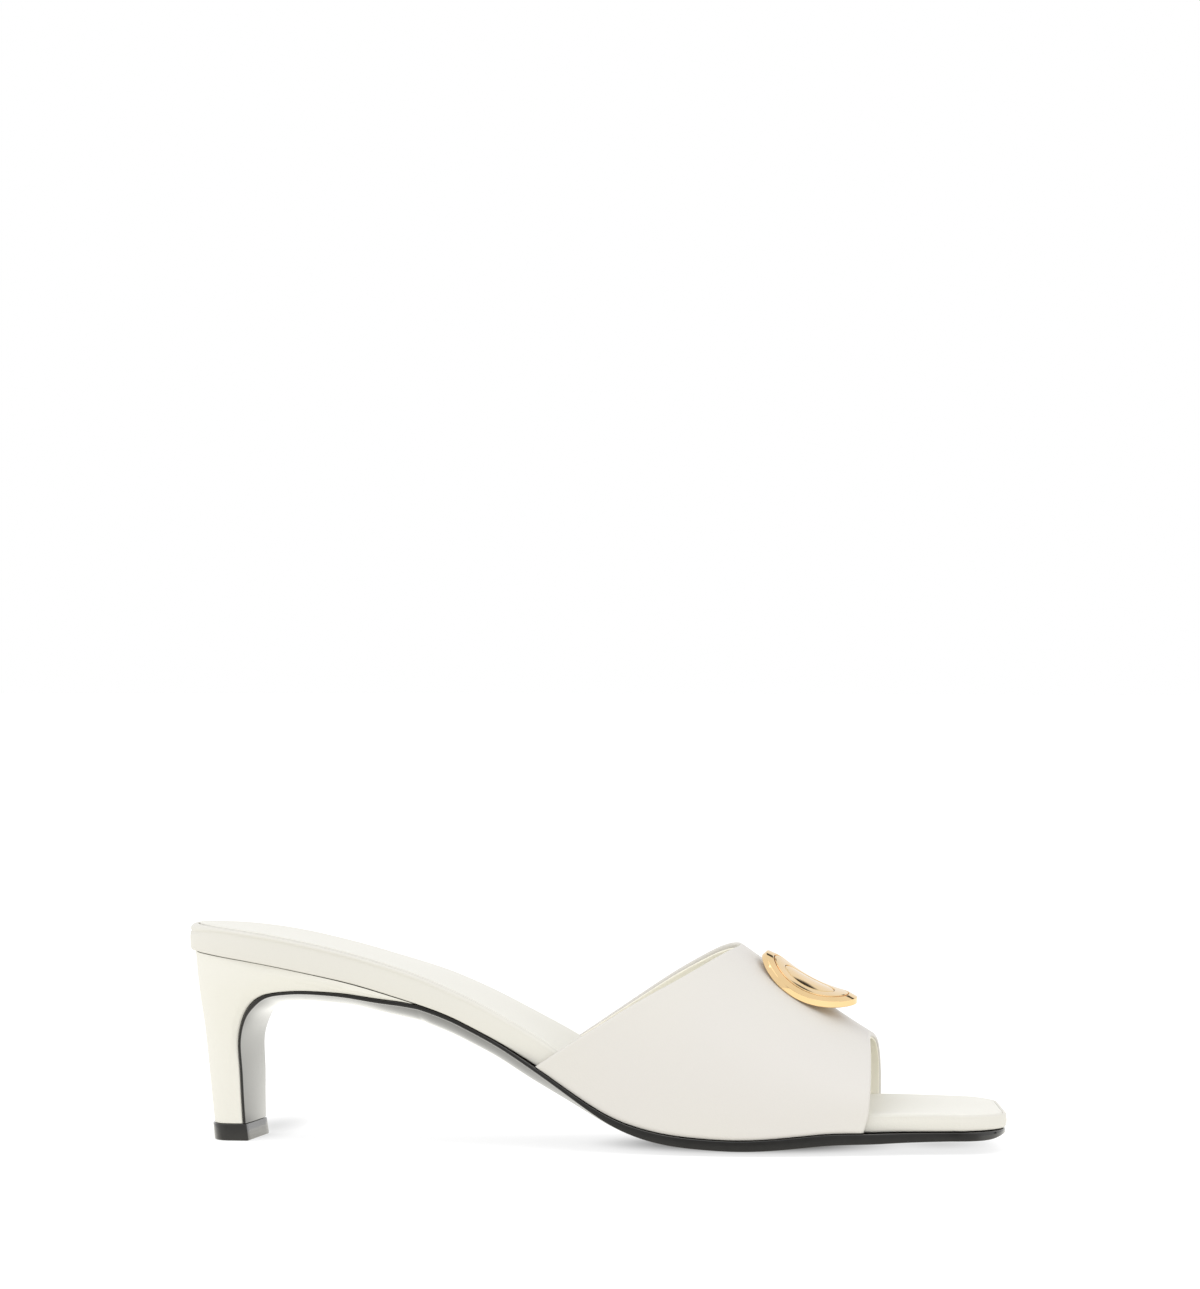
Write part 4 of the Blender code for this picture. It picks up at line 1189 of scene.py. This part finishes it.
@dataclass(frozen=True)
class Vamp:
    """Form of the upper: an arch over the foot between the throat line and the front edge."""

    last: Last
    ridge_rows: tuple[LineRow, ...] = table(LineRow,
        (100.0, 98.5), (120.0, 85.3), (137.0, 74.0), (150.0, 65.2), (163.0, 55.8), (176.0, 46.8),
        (188.0, 38.6), (200.0, 30.8), (208.0, 26.2))
    throat_rows: tuple[LineRow, ...] = table(LineRow,
        (100.0, 19.0), (108.3, 24.4), (120.8, 32.6), (131.0, 39.1), (141.0, 45.2), (150.0, 50.3),
        (157.0, 54.6), (163.0, 58.0), (172.0, 60.6))
    rise_rows: tuple[EdgeRow, ...] = table(EdgeRow,
        (0.0, 0.0), (0.15, 1.2), (0.3, 2.9), (0.45, 4.0), (0.6, 4.1), (0.8, 3.4), (1.0, 2.6))
    front_rows: tuple[EdgeRow, ...] = table(EdgeRow,
        (0.0, 3.1), (0.09, 3.44), (0.18, 3.24), (0.3, 2.35), (0.4, 1.2), (0.5, 0.1), (0.6, 0.2),
        (0.7, 0.2), (0.85, -0.1), (1.0, -0.35))
    ridge_y: float = 3.0
    wall: float = 2.0
    lateral_roundness: float = 2.0
    medial_roundness: float = 2.25
    front_at_ridge: float = 200.8
    front_tuck: float = 1.4
    front_tuck_power: float = 1.2
    foot_tuck: float = 0.55
    tuck_share: float = 0.2       # share of the height at the foot over which the leather is tucked in

    @cached_property
    def ridge(self) -> Spline:
        """Height of the lining under the ridge."""
        return Spline.through(self.ridge_rows, "z")

    @cached_property
    def throat(self) -> Spline:
        """Throat line seen from the side."""
        return Spline.through(self.throat_rows, "z")

    @cached_property
    def rise(self) -> Spline:
        """How much higher the throat is cut from the ridge, at 0, to the medial foot, at 1."""
        return Spline.through(self.rise_rows, "offset")

    @cached_property
    def front(self) -> Spline:
        """How far the front edge reaches past its place at the ridge."""
        return Spline.through(self.front_rows, "offset")

    def point(self, x: Array, turn: Array, out: Array, drop: Array) -> Array:
        """Point of the upper.

        Args:
            x: place along the shoe.
            turn: 0 at the lateral side of the footbed, 1 at the medial side.
            out: distance outwards from the lining's face.
            drop: below the rim, the share of the way down to the sole.

        Returns:
            Points (x, y, z).
        """
        x, turn, out, drop = np.broadcast_arrays(*(np.asarray(a, float) for a in (x, turn, out, drop)))
        angle = np.pi * np.clip(turn, 0.0, 1.0)
        lateral = turn < 0.5
        power = 2.0 / np.where(lateral, self.lateral_roundness, self.medial_roundness)
        across = np.abs(np.cos(angle)) ** power
        up = np.clip(np.sin(angle), 0.0, 1.0) ** power
        widths = self.last.half_widths
        outer = self.ridge_y - (widths[Side.LATERAL](x) + GAP + out + self.ridge_y) * across
        inner = self.ridge_y + (widths[Side.MEDIAL](x) + GAP + out - self.ridge_y) * across
        v = -np.cos(angle)
        rim, under = self.last.rim(x, v), self.last.under(x, v)
        z = rim + (self.ridge(x) + out - rim) * up - drop * (rim - under)
        return joined(x, np.where(lateral, outer, inner), z)

    def throat_x(self, turn: Array, drop: Array) -> Array:
        """Where the throat line crosses the outer face."""
        rise = np.where(turn > 0.5, self.rise(np.clip(2.0 * turn - 1.0, 0.0, 1.0)), 0.0)

        def above(x: Array) -> Array:
            return self.point(x, turn, self.wall, drop)[..., 2] > self.throat(x) + rise

        low = np.full_like(turn, self.throat_rows[0].x)
        return bisect(low, np.full_like(turn, self.throat_rows[-1].x), above)

    def front_x(self, turn: Array, drop: Array) -> Array:
        """Where the front edge lies."""
        return self.front_at_ridge + self.front(turn) - self.front_tuck * drop ** self.front_tuck_power

    def height(self, x: Array, y: Array) -> Array:
        """Height of the outer face over a point of the plan, near the ridge."""
        lateral = y < self.ridge_y
        roundness = np.where(lateral, self.lateral_roundness, self.medial_roundness)
        widths = self.last.half_widths
        side = np.where(lateral, widths[Side.LATERAL](x) + self.ridge_y,
                        widths[Side.MEDIAL](x) - self.ridge_y)
        share = np.clip(np.abs(y - self.ridge_y) / (side + GAP + self.wall), 0.0, 1.0)
        rim = self.last.rim(x)
        return rim + (self.ridge(x) + self.wall - rim) * (1.0 - share ** roundness) ** (1.0 / roundness)


@dataclass(frozen=True)
class Layer:
    """One layer of the upper between two distances from the lining's face."""

    vamp: Vamp
    inside: float
    outside: float
    set_back: float           # how far its edges stay behind the upper's edge
    foot_level: float = 1.0
    along: int = 110
    roll_steps: int = 8
    turns: int = 150
    foot_steps: int = 10
    most_step: float = 4.0        # limit of edge_steps, where an edge runs nearly along the shoe

    def columns(self) -> tuple[Array, Array]:
        """Turn and drop of each column, from the lateral foot over the ridge to the medial foot."""
        drops = self.foot_level * np.linspace(1.0, 0.0, self.foot_steps, endpoint=False)
        turns = np.linspace(0.0, 1.0, self.turns + 1)
        turn = np.concatenate([np.zeros(self.foot_steps), turns, np.ones(self.foot_steps)])
        drop = np.concatenate([drops, np.zeros(self.turns + 1), drops[::-1]])
        return turn, drop

    def edge_steps(self, x: Array, turn: Array, drop: Array) -> Array:
        """Change of x for each millimetre away from an edge, square to it."""
        behind, edge, ahead = (self.vamp.point(x + step, turn, self.outside, drop)
                               for step in (-0.5, 0.0, 0.5))
        across = np.linalg.norm(np.cross(ahead - behind, unit(np.gradient(edge, axis=0))), axis=-1)
        return 1.0 / np.maximum(across, 1.0 / self.most_step)

    def shell(self) -> Shell:
        """Closed mesh of the layer, with its throat and front edges rolled over."""
        vamp = self.vamp
        turn, drop = self.columns()
        start, end = vamp.throat_x(turn, drop), vamp.front_x(turn, drop)
        start_step, end_step = self.edge_steps(start, turn, drop), self.edge_steps(end, turn, drop)
        radius = 0.5 * (self.outside - self.inside)
        middle = 0.5 * (self.outside + self.inside)
        tuck = vamp.foot_tuck * np.clip(1.0 - (1.0 - drop) / vamp.tuck_share, 0.0, 1.0) ** 2
        roll = np.linspace(0.0, math.pi, self.roll_steps + 1)
        run = even_to_edges(self.along)
        run_in = self.set_back + radius
        first, final = start + run_in * start_step, end - run_in * end_step
        columns = []
        for here, there, out, edge, step, sign in (
                (first, final, self.outside, end, -end_step, 1.0),
                (final, first, self.inside, start, start_step, -1.0)):
            columns += [vamp.point(here + (there - here) * s, turn, out - tuck, drop) for s in run]
            for a in roll[1:-1]:
                x = edge + (self.set_back + radius * (1.0 - math.sin(a))) * step
                columns.append(vamp.point(x, turn, middle + sign * radius * math.cos(a) - tuck, drop))
        shell = Shell()
        ids = shell.add(np.stack(columns))
        shell.sheet(np.concatenate([ids, ids[:1]]).T, flip=True)
        self.cap(shell, ids[:, 0], flip=False)
        self.cap(shell, ids[:, -1], flip=True)
        return shell

    def cap(self, shell: Shell, loop: Array, flip: bool) -> None:
        """Closes the layer's foot: a strip between its two faces and a face at each roll."""
        n, roll = self.along, self.roll_steps - 1
        outer, front = loop[:n], loop[n:n + roll]
        inner, throat = loop[n + roll:2 * n + roll][::-1], loop[2 * n + roll:]
        shell.sheet(joined(outer, inner), flip=flip)
        ends = [(outer[-1], *front, inner[-1]), (inner[0], *throat, outer[0])]
        for end in ends:
            face = tuple(int(i) for i in end)
            shell.faces.append(face[::-1] if not flip else face)


# ---------------------------------------------------------------- ornament
@dataclass(frozen=True)
class Medallion:
    """Gold oval on the ridge: a bowed plate with a sloping ring and a boss set into it."""

    vamp: Vamp
    centre_x: float = 181.8
    centre_y: float = -1.2
    half_length: float = 15.65
    half_width: float = 12.2
    pitch: float = math.radians(7.2)      # the front end is raised from the slope of the leather
    tilt: float = math.radians(6.4)       # and the plate leans to the lateral side
    sag: float = 3.5                      # depth of the bow along the plate
    droop: float = 1.0                    # and of the opposite bend across it
    outer_joint: Pair = (0.839, 2.57)     # reach and height of the dark discs that paint shade into the joints
    inner_joint: Pair = (0.559, 2.82)
    disc: float = 0.08                    # and their thickness
    sides: int = 224

    @cached_property
    def frame(self) -> tuple[Array, Array, Array, Array]:
        """Centre of the plate on the leather, and its directions along, across and up."""
        x, y = np.array([self.centre_x]), np.array([self.centre_y])
        fall = float((self.vamp.height(x + 1.0, y) - self.vamp.height(x - 1.0, y))[0]) / 2.0
        slope = math.atan(fall) + self.pitch
        along = np.array([math.cos(slope), 0.0, math.sin(slope)])
        level = np.array([-math.sin(slope), 0.0, math.cos(slope)])
        side = np.array([0.0, 1.0, 0.0])
        across = side * math.cos(self.tilt) + level * math.sin(self.tilt)
        up = level * math.cos(self.tilt) - side * math.sin(self.tilt)
        centre = np.array([self.centre_x, self.centre_y, float(self.vamp.height(x, y)[0])])
        return centre, along, across, up

    def place(self, along: Array, across: Array, height: Array) -> Array:
        """Point of the bowed plate."""
        centre, e_along, e_across, e_up = self.frame
        bow = self.sag * (along / self.half_length) ** 2
        lean = 2.0 * self.sag * along / self.half_length ** 2
        stretch = np.sqrt(1.0 + lean * lean)
        up = bow + height / stretch - self.droop * (across / self.half_width) ** 2
        forward = along - height * lean / stretch
        return (centre + forward[:, None] * e_along + across[:, None] * e_across + up[:, None] * e_up)

    def tier(self, corners: Sequence[Triple]) -> Shell:
        """Closed oval mesh from a turned profile.

        Args:
            corners: rows of (share of the oval's radius, height, rounding in mm), from
                the middle of the underside out, up and back in.

        Returns:
            The mesh.
        """
        radius = self.half_width
        outline = fillet([(share * radius, height, rounding) for share, height, rounding in corners])
        angle = np.linspace(0.0, FULL_TURN, self.sides, endpoint=False)
        grow = self.half_length - radius
        rings = []
        for out, height in outline:
            long_half = out + grow * out / radius
            rings.append(self.place(long_half * np.cos(angle), out * np.sin(angle),
                                    np.full(self.sides, height)))
        nought = np.zeros(1)
        hubs = [self.place(nought, nought, np.array([height]))[0] for height in outline[[0, -1], 1]]
        return turned_shell(rings, *hubs)

    def plate(self) -> Shell:
        """Plate with an upright wall under a sloping bevel."""
        return self.tier(((0.12, 0.0, 0.0), (0.40, 0.0, 0.0), (0.42, 0.4, 0.1), (0.955, 0.35, 0.2),
                          (1.0, 0.6, 0.25), (1.0, 2.35, 0.12), (0.875, 3.25, 0.2), (0.85, 3.1, 0.08),
                          (0.84, 2.55, 0.04), (0.12, 2.5, 0.0)))

    def ring(self) -> Shell:
        """Flat ring let into the plate."""
        return self.tier(((0.12, 2.52, 0.0), (0.82, 2.52, 0.0), (0.825, 3.2, 0.14), (0.80, 3.35, 0.1),
                          (0.59, 3.4, 0.12), (0.565, 3.25, 0.08), (0.56, 2.8, 0.04), (0.12, 2.75, 0.0)))

    def boss(self) -> Shell:
        """Low dome in the middle."""
        return self.tier(((0.06, 2.77, 0.0), (0.545, 2.77, 0.0), (0.55, 3.15, 0.12), (0.52, 3.35, 0.15),
                          (0.25, 3.6, 0.8), (0.06, 3.65, 0.0)))

    def joint_shade_disc(self, share: float, low: float) -> Shell:
        """Thin dark disc whose edge shows in the joint round a ring, as painted shade in the joint."""
        high = low + self.disc
        return self.tier(((0.1, low, 0.0), (share, low, 0.0), (share, high, 0.0), (0.1, high, 0.0)))


# ---------------------------------------------------------------- studio
@dataclass(frozen=True)
class Flag:
    """Dark patch of the studio that shows only in reflections."""

    direction: Triple
    wide: float               # half-angle in degrees where it is darkest
    soft: float               # and the half-angle where it ends
    shade: float


@dataclass(frozen=True)
class ShadowPool:
    """Oval of painted shadow on the floor: there the floor glows less, so it looks darker and shows more of
    the real shadow.
    """

    middle: Pair
    half_axes: Pair
    inner: float              # share of the half axes up to which it is darkest
    outer: float              # and the share where it ends
    glow: float


@dataclass(frozen=True)
class SoftBox:
    """Square lamp; its place and aim are counted from the middle of the shoe."""

    name: str
    place: Triple
    aim: Triple
    size: float
    power: float


@dataclass(frozen=True)
class Studio:
    """White floor, soft light from the left and a level camera by the shoe's outer side."""

    camera_distance: float = 1.6
    camera_height: float = 0.145
    camera_turn: float = math.radians(8.7)
    aim_past_middle: float = 0.00121
    lens: float = 153.27
    sensor: float = 36.0
    floor_half: float = 14.0
    white: float = 1.0
    soft_boxes: tuple[SoftBox, ...] = (
        SoftBox("key", (-0.9, -0.6, 1.7), (0.0, 0.0, 0.0), 1.6, 9.5),
        SoftBox("card", (0.35, -0.20, 0.25), (0.08, 0.0, -0.02), 0.3, 0.22),
    )
    floor_tone: float = 0.33
    floor_mottle: float = 1.04    # its palest spots against that tone
    floor_drop: float = 0.00005   # how far it lies under the sole
    floor_glow: float = 0.86      # light that the floor gives the shoe
    shown_glow: float = 0.80      # and how bright it looks by itself
    floor_warmth: Triple = (1.0, 0.985, 0.90)
    # painted shadows on the floor, seen by the camera: darker under the ball and at the toe, and a soft patch
    # behind the heel
    painted_shadows: tuple[ShadowPool, ...] = (
        ShadowPool((0.0445, 0.0), (0.0445, 0.033), 0.28, 1.13, 0.04),
        ShadowPool((0.100, 0.008), (0.017, 0.020), 0.0, 1.0, 0.62),
        ShadowPool((-0.105, 0.040), (0.018, 0.065), 0.0, 1.0, 0.42),
    )
    # painted shadow under the shank, seen only in reflections and in the light that the floor gives the shoe
    shades: tuple[ShadowPool, ...] = (ShadowPool((-0.030, 0.060), (0.065, 0.060), 0.3, 1.2, 0.45),)
    flags: tuple[Flag, ...] = (
        Flag((0.0, -1.0, 0.05), 14.0, 36.0, 0.3),
        Flag((-0.93, 0.27, 0.27), 4.0, 7.0, 0.05),
        Flag((0.22, 0.77, 0.60), 3.5, 6.0, 0.05),
        Flag((0.90, 0.40, 0.08), 3.5, 6.0, 0.05),
    )

    def camera(self) -> None:
        """Level camera at the height of a low tripod."""
        data = bpy.data.cameras.new("camera")
        data.lens = self.lens
        data.sensor_width = self.sensor
        data.clip_start, data.clip_end = 0.05, 100.0
        camera = in_scene("camera", data)
        side = self.camera_distance * math.sin(self.camera_turn)
        back = self.camera_distance * math.cos(self.camera_turn)
        camera.location = (self.aim_past_middle + side, -back, self.camera_height)
        camera.rotation_euler = (QUARTER_TURN, 0.0, self.camera_turn)
        bpy.context.scene.camera = camera

    def floor(self, ground: float) -> None:
        """Wide white floor just under the sole, with painted shadows."""
        material = bpy.data.materials.new("floor_paint")
        material.use_nodes = True
        tree = Tree(material.node_tree)
        shader = material.node_tree.nodes["Principled BSDF"]
        place = tree.node("NodeTexCoord").outputs["Object"]
        mottle = tree.node("NodeTexNoise", Vector=place, Scale=6.0, Detail=3.0)
        seen = tree.node("NodeLightPath").outputs["Is Camera Ray"]
        glow: object = tree.math("ADD", self.floor_glow,
                                 tree.math("MULTIPLY", seen, self.shown_glow - self.floor_glow))
        unseen = tree.math("SUBTRACT", 1.0, seen)
        # painted shadows that the camera sees
        for pool in self.painted_shadows:
            glow = tree.math("SUBTRACT", glow, self.painted_shadow_depth(tree, place, seen, self.shown_glow, pool))
        # painted shadow in what the shoe mirrors and in the floor's light on it
        for shade in self.shades:
            glow = tree.math("SUBTRACT", glow, self.painted_shadow_depth(tree, place, unseen, self.floor_glow, shade))
        tone = (self.floor_tone,) * 3
        paler = (self.floor_mottle * self.floor_tone,) * 3
        tree.fill(shader, Base_Color=tree.mix(mottle.outputs[0], tone, paler), Roughness=0.9,
                  Specular_IOR_Level=0.1, Emission_Strength=glow,
                  Emission_Color=tree.mix(seen, self.floor_warmth, (1.0, 1.0, 1.0)))
        h = self.floor_half
        mesh = bpy.data.meshes.new("floor")
        mesh.from_pydata([(-h, -h, ground), (h, -h, ground), (h, h, ground), (-h, h, ground)], [],
                         [(0, 1, 2, 3)])
        mesh.materials.append(material)
        in_scene("floor", mesh)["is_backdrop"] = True

    def painted_shadow_depth(self, tree: Tree, place: object, rays: object, glow: float, pool: ShadowPool) -> object:
        """How much painted shadow a pool puts at a place: how much less the floor glows there.

        Args:
            tree: the floor material's nodes.
            place: socket with the place on the floor.
            rays: socket that is 1 for the rays that the pool is for.
            glow: what the floor gives those rays elsewhere.
            pool: the pool.

        Returns:
            Socket with the difference.
        """
        offset = tree.vector("SUBTRACT", place, (*pool.middle, 0.0))
        scaled = tree.vector("MULTIPLY", offset, (*(1.0 / half for half in pool.half_axes), 0.0))
        reach = tree.result("NodeVectorMath", {"operation": "LENGTH"}, {0: scaled}, 1)
        share = tree.ramp(reach, pool.inner, pool.outer, glow - pool.glow, 0.0)
        return tree.math("MULTIPLY", share, rays)

    def lamp(self, box: SoftBox, middle: Vector) -> None:
        """Sets up a soft box."""
        data = bpy.data.lights.new(box.name, "AREA")
        data.energy, data.size = box.power, box.size
        lamp = in_scene(box.name, data)
        place, aim = middle + Vector(box.place), middle + Vector(box.aim)
        lamp.location = place
        lamp.rotation_euler = (aim - place).to_track_quat("-Z", "Y").to_euler()

    def world(self) -> None:
        """White surroundings, with the flags in what glossy faces mirror."""
        world = bpy.data.worlds.new("studio")
        bpy.context.scene.world = world
        world.use_nodes = True
        tree = Tree(world.node_tree)
        background = world.node_tree.nodes["Background"]
        direction = tree.node("NodeTexCoord").outputs["Generated"]
        shade: object = self.white
        for flag in self.flags:
            dot = tree.result("NodeVectorMath", {"operation": "DOT_PRODUCT"},
                              {0: direction, 1: tuple(Vector(flag.direction).normalized())}, 1)
            mask = tree.ramp(dot, math.cos(math.radians(flag.soft)), math.cos(math.radians(flag.wide)),
                             1.0, flag.shade)
            shade = tree.math("MULTIPLY", shade, mask)
        mirrored = tree.node("NodeLightPath").outputs["Is Glossy Ray"]
        level = tree.result("NodeMix", {"data_type": "FLOAT"}, {0: mirrored, 2: self.white, 3: shade})
        tree.fill(background, Strength=level, Color=(1.0, 1.0, 1.0, 1.0))

    def build(self, middle: Vector, ground: float) -> None:
        """Sets up the whole studio round the shoe.

        Args:
            middle: the middle of the shoe.
            ground: height of its lowest point.
        """
        bpy.context.scene.view_settings.view_transform = "Standard"
        self.camera()
        self.floor(ground - self.floor_drop)
        for box in self.soft_boxes:
            self.lamp(box, middle)
        self.world()


# ---------------------------------------------------------------- finishes of this shoe
# The hides are one ivory leather whose tones differ piece by piece as painted light and shade: the heel and
# sock paler, the upper and band darker.
UPPER_HIDE = Leather("upper_hide", (0.672, 0.651, 0.609), 0.46, tone=(0.664, 0.641, 0.612))
BAND_HIDE = Leather("band_hide", (0.693, 0.678, 0.624), 0.46, tone=(0.686, 0.669, 0.622))
HEEL_HIDE = Leather("heel_hide", (0.750, 0.736, 0.673), 0.44, tone=(0.742, 0.727, 0.671))
SOCK_HIDE = Leather("sock_hide", (0.775, 0.762, 0.708), 0.5, tone=(0.765, 0.752, 0.696), cells=2200.0)
# the lining is much paler than the other hides: painted light that offsets the shade inside the toe opening
# and the throat
LINING_HIDE_LIT = Leather("lining_hide_painted_light", (0.95, 0.925, 0.82), 0.55, tone=(0.94, 0.91, 0.80), cells=2400.0,
                      depth=0.03)
SOLE_POLISH = Polish("sole_polish", (0.008, 0.0075, 0.007), 0.13, haze=0.18, specular=0.35, coat=0.78)
LIFT_RUBBER = Polish("lift_rubber", (0.015, 0.014, 0.013), 0.20, stretch=1.0, coat=0.28, depth=0.01)
GOLD = Metal("pale_gold", (0.87, 0.625, 0.335), 0.06)
# painted shade: dark metal for the discs that darken the medallion's joints
JOINT_SHADE_PAINT = Metal("painted_joint_shade", (0.10, 0.065, 0.03), 0.35, deep=(0.07, 0.045, 0.02))


def main() -> None:
    """Builds the shoe piece by piece in its studio."""
    logging.basicConfig(level=logging.INFO, format="%(message)s")
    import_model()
    cad_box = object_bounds()
    last = Last()
    breast = Breast()
    lip = Lip()
    heel = Heel(last, breast)
    vamp = Vamp(last)
    medallion = Medallion(vamp)
    lift_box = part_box("top_lift")
    seat_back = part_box("heel")[0].x - heel.back_high[0] * MM
    placement = Placement(Vector((seat_back, 0.5 * (lift_box[0].y + lift_box[1].y), lift_box[0].z)))
    effects = Effects()

    leather = Layer(vamp, LINING_THICKNESS + LAYER_GAP, vamp.wall, 0.0)
    lining = Layer(vamp, 0.0, LINING_THICKNESS, LINING_SET_BACK, foot_level=LINING_FOOT)
    for finish, slot, node, shells in (
            (SOLE_POLISH, "sole_black", "outsole", {"outsole_polished": Outsole(last, breast).shell()}),
            (BAND_HIDE, "footbed_leather", "footbed", {"footbed_wrap": Footbed(last, lip).shell()}),
            (SOCK_HIDE, "insole_leather", "insole", {"sock_pad": Sock(last, lip).shell()}),
            (HEEL_HIDE, "heel_leather", "heel", {"heel_cover": heel.shell()}),
            (LIFT_RUBBER, "lift_rubber", "top_lift", {"heel_lift": TopLift().shell()}),
            (UPPER_HIDE, "upper_leather", "upper", {"vamp_leather": leather.shell()}),
            (LINING_HIDE_LIT, "upper_leather", "upper", {"vamp_lining": lining.shell()}),
            (GOLD, "ornament_metal", "ornament", {
                "medallion_plate": medallion.plate(),
                "medallion_ring": medallion.ring(),
                "medallion_boss": medallion.boss()}),
            # dark discs that paint shade into the medallion's joints
            (JOINT_SHADE_PAINT, "ornament_metal", "ornament", {
                "medallion_joint_shade_outer": medallion.joint_shade_disc(*medallion.outer_joint),
                "medallion_joint_shade_inner": medallion.joint_shade_disc(*medallion.inner_joint)})):
        material = finish.build(effects)
        for name, shell in shells.items():
            placement.piece(name, shell, material, slot, node)

    Studio().build(0.5 * (cad_box[0] + cad_box[1]), cad_box[0].z)


if __name__ == "__main__":
    main()
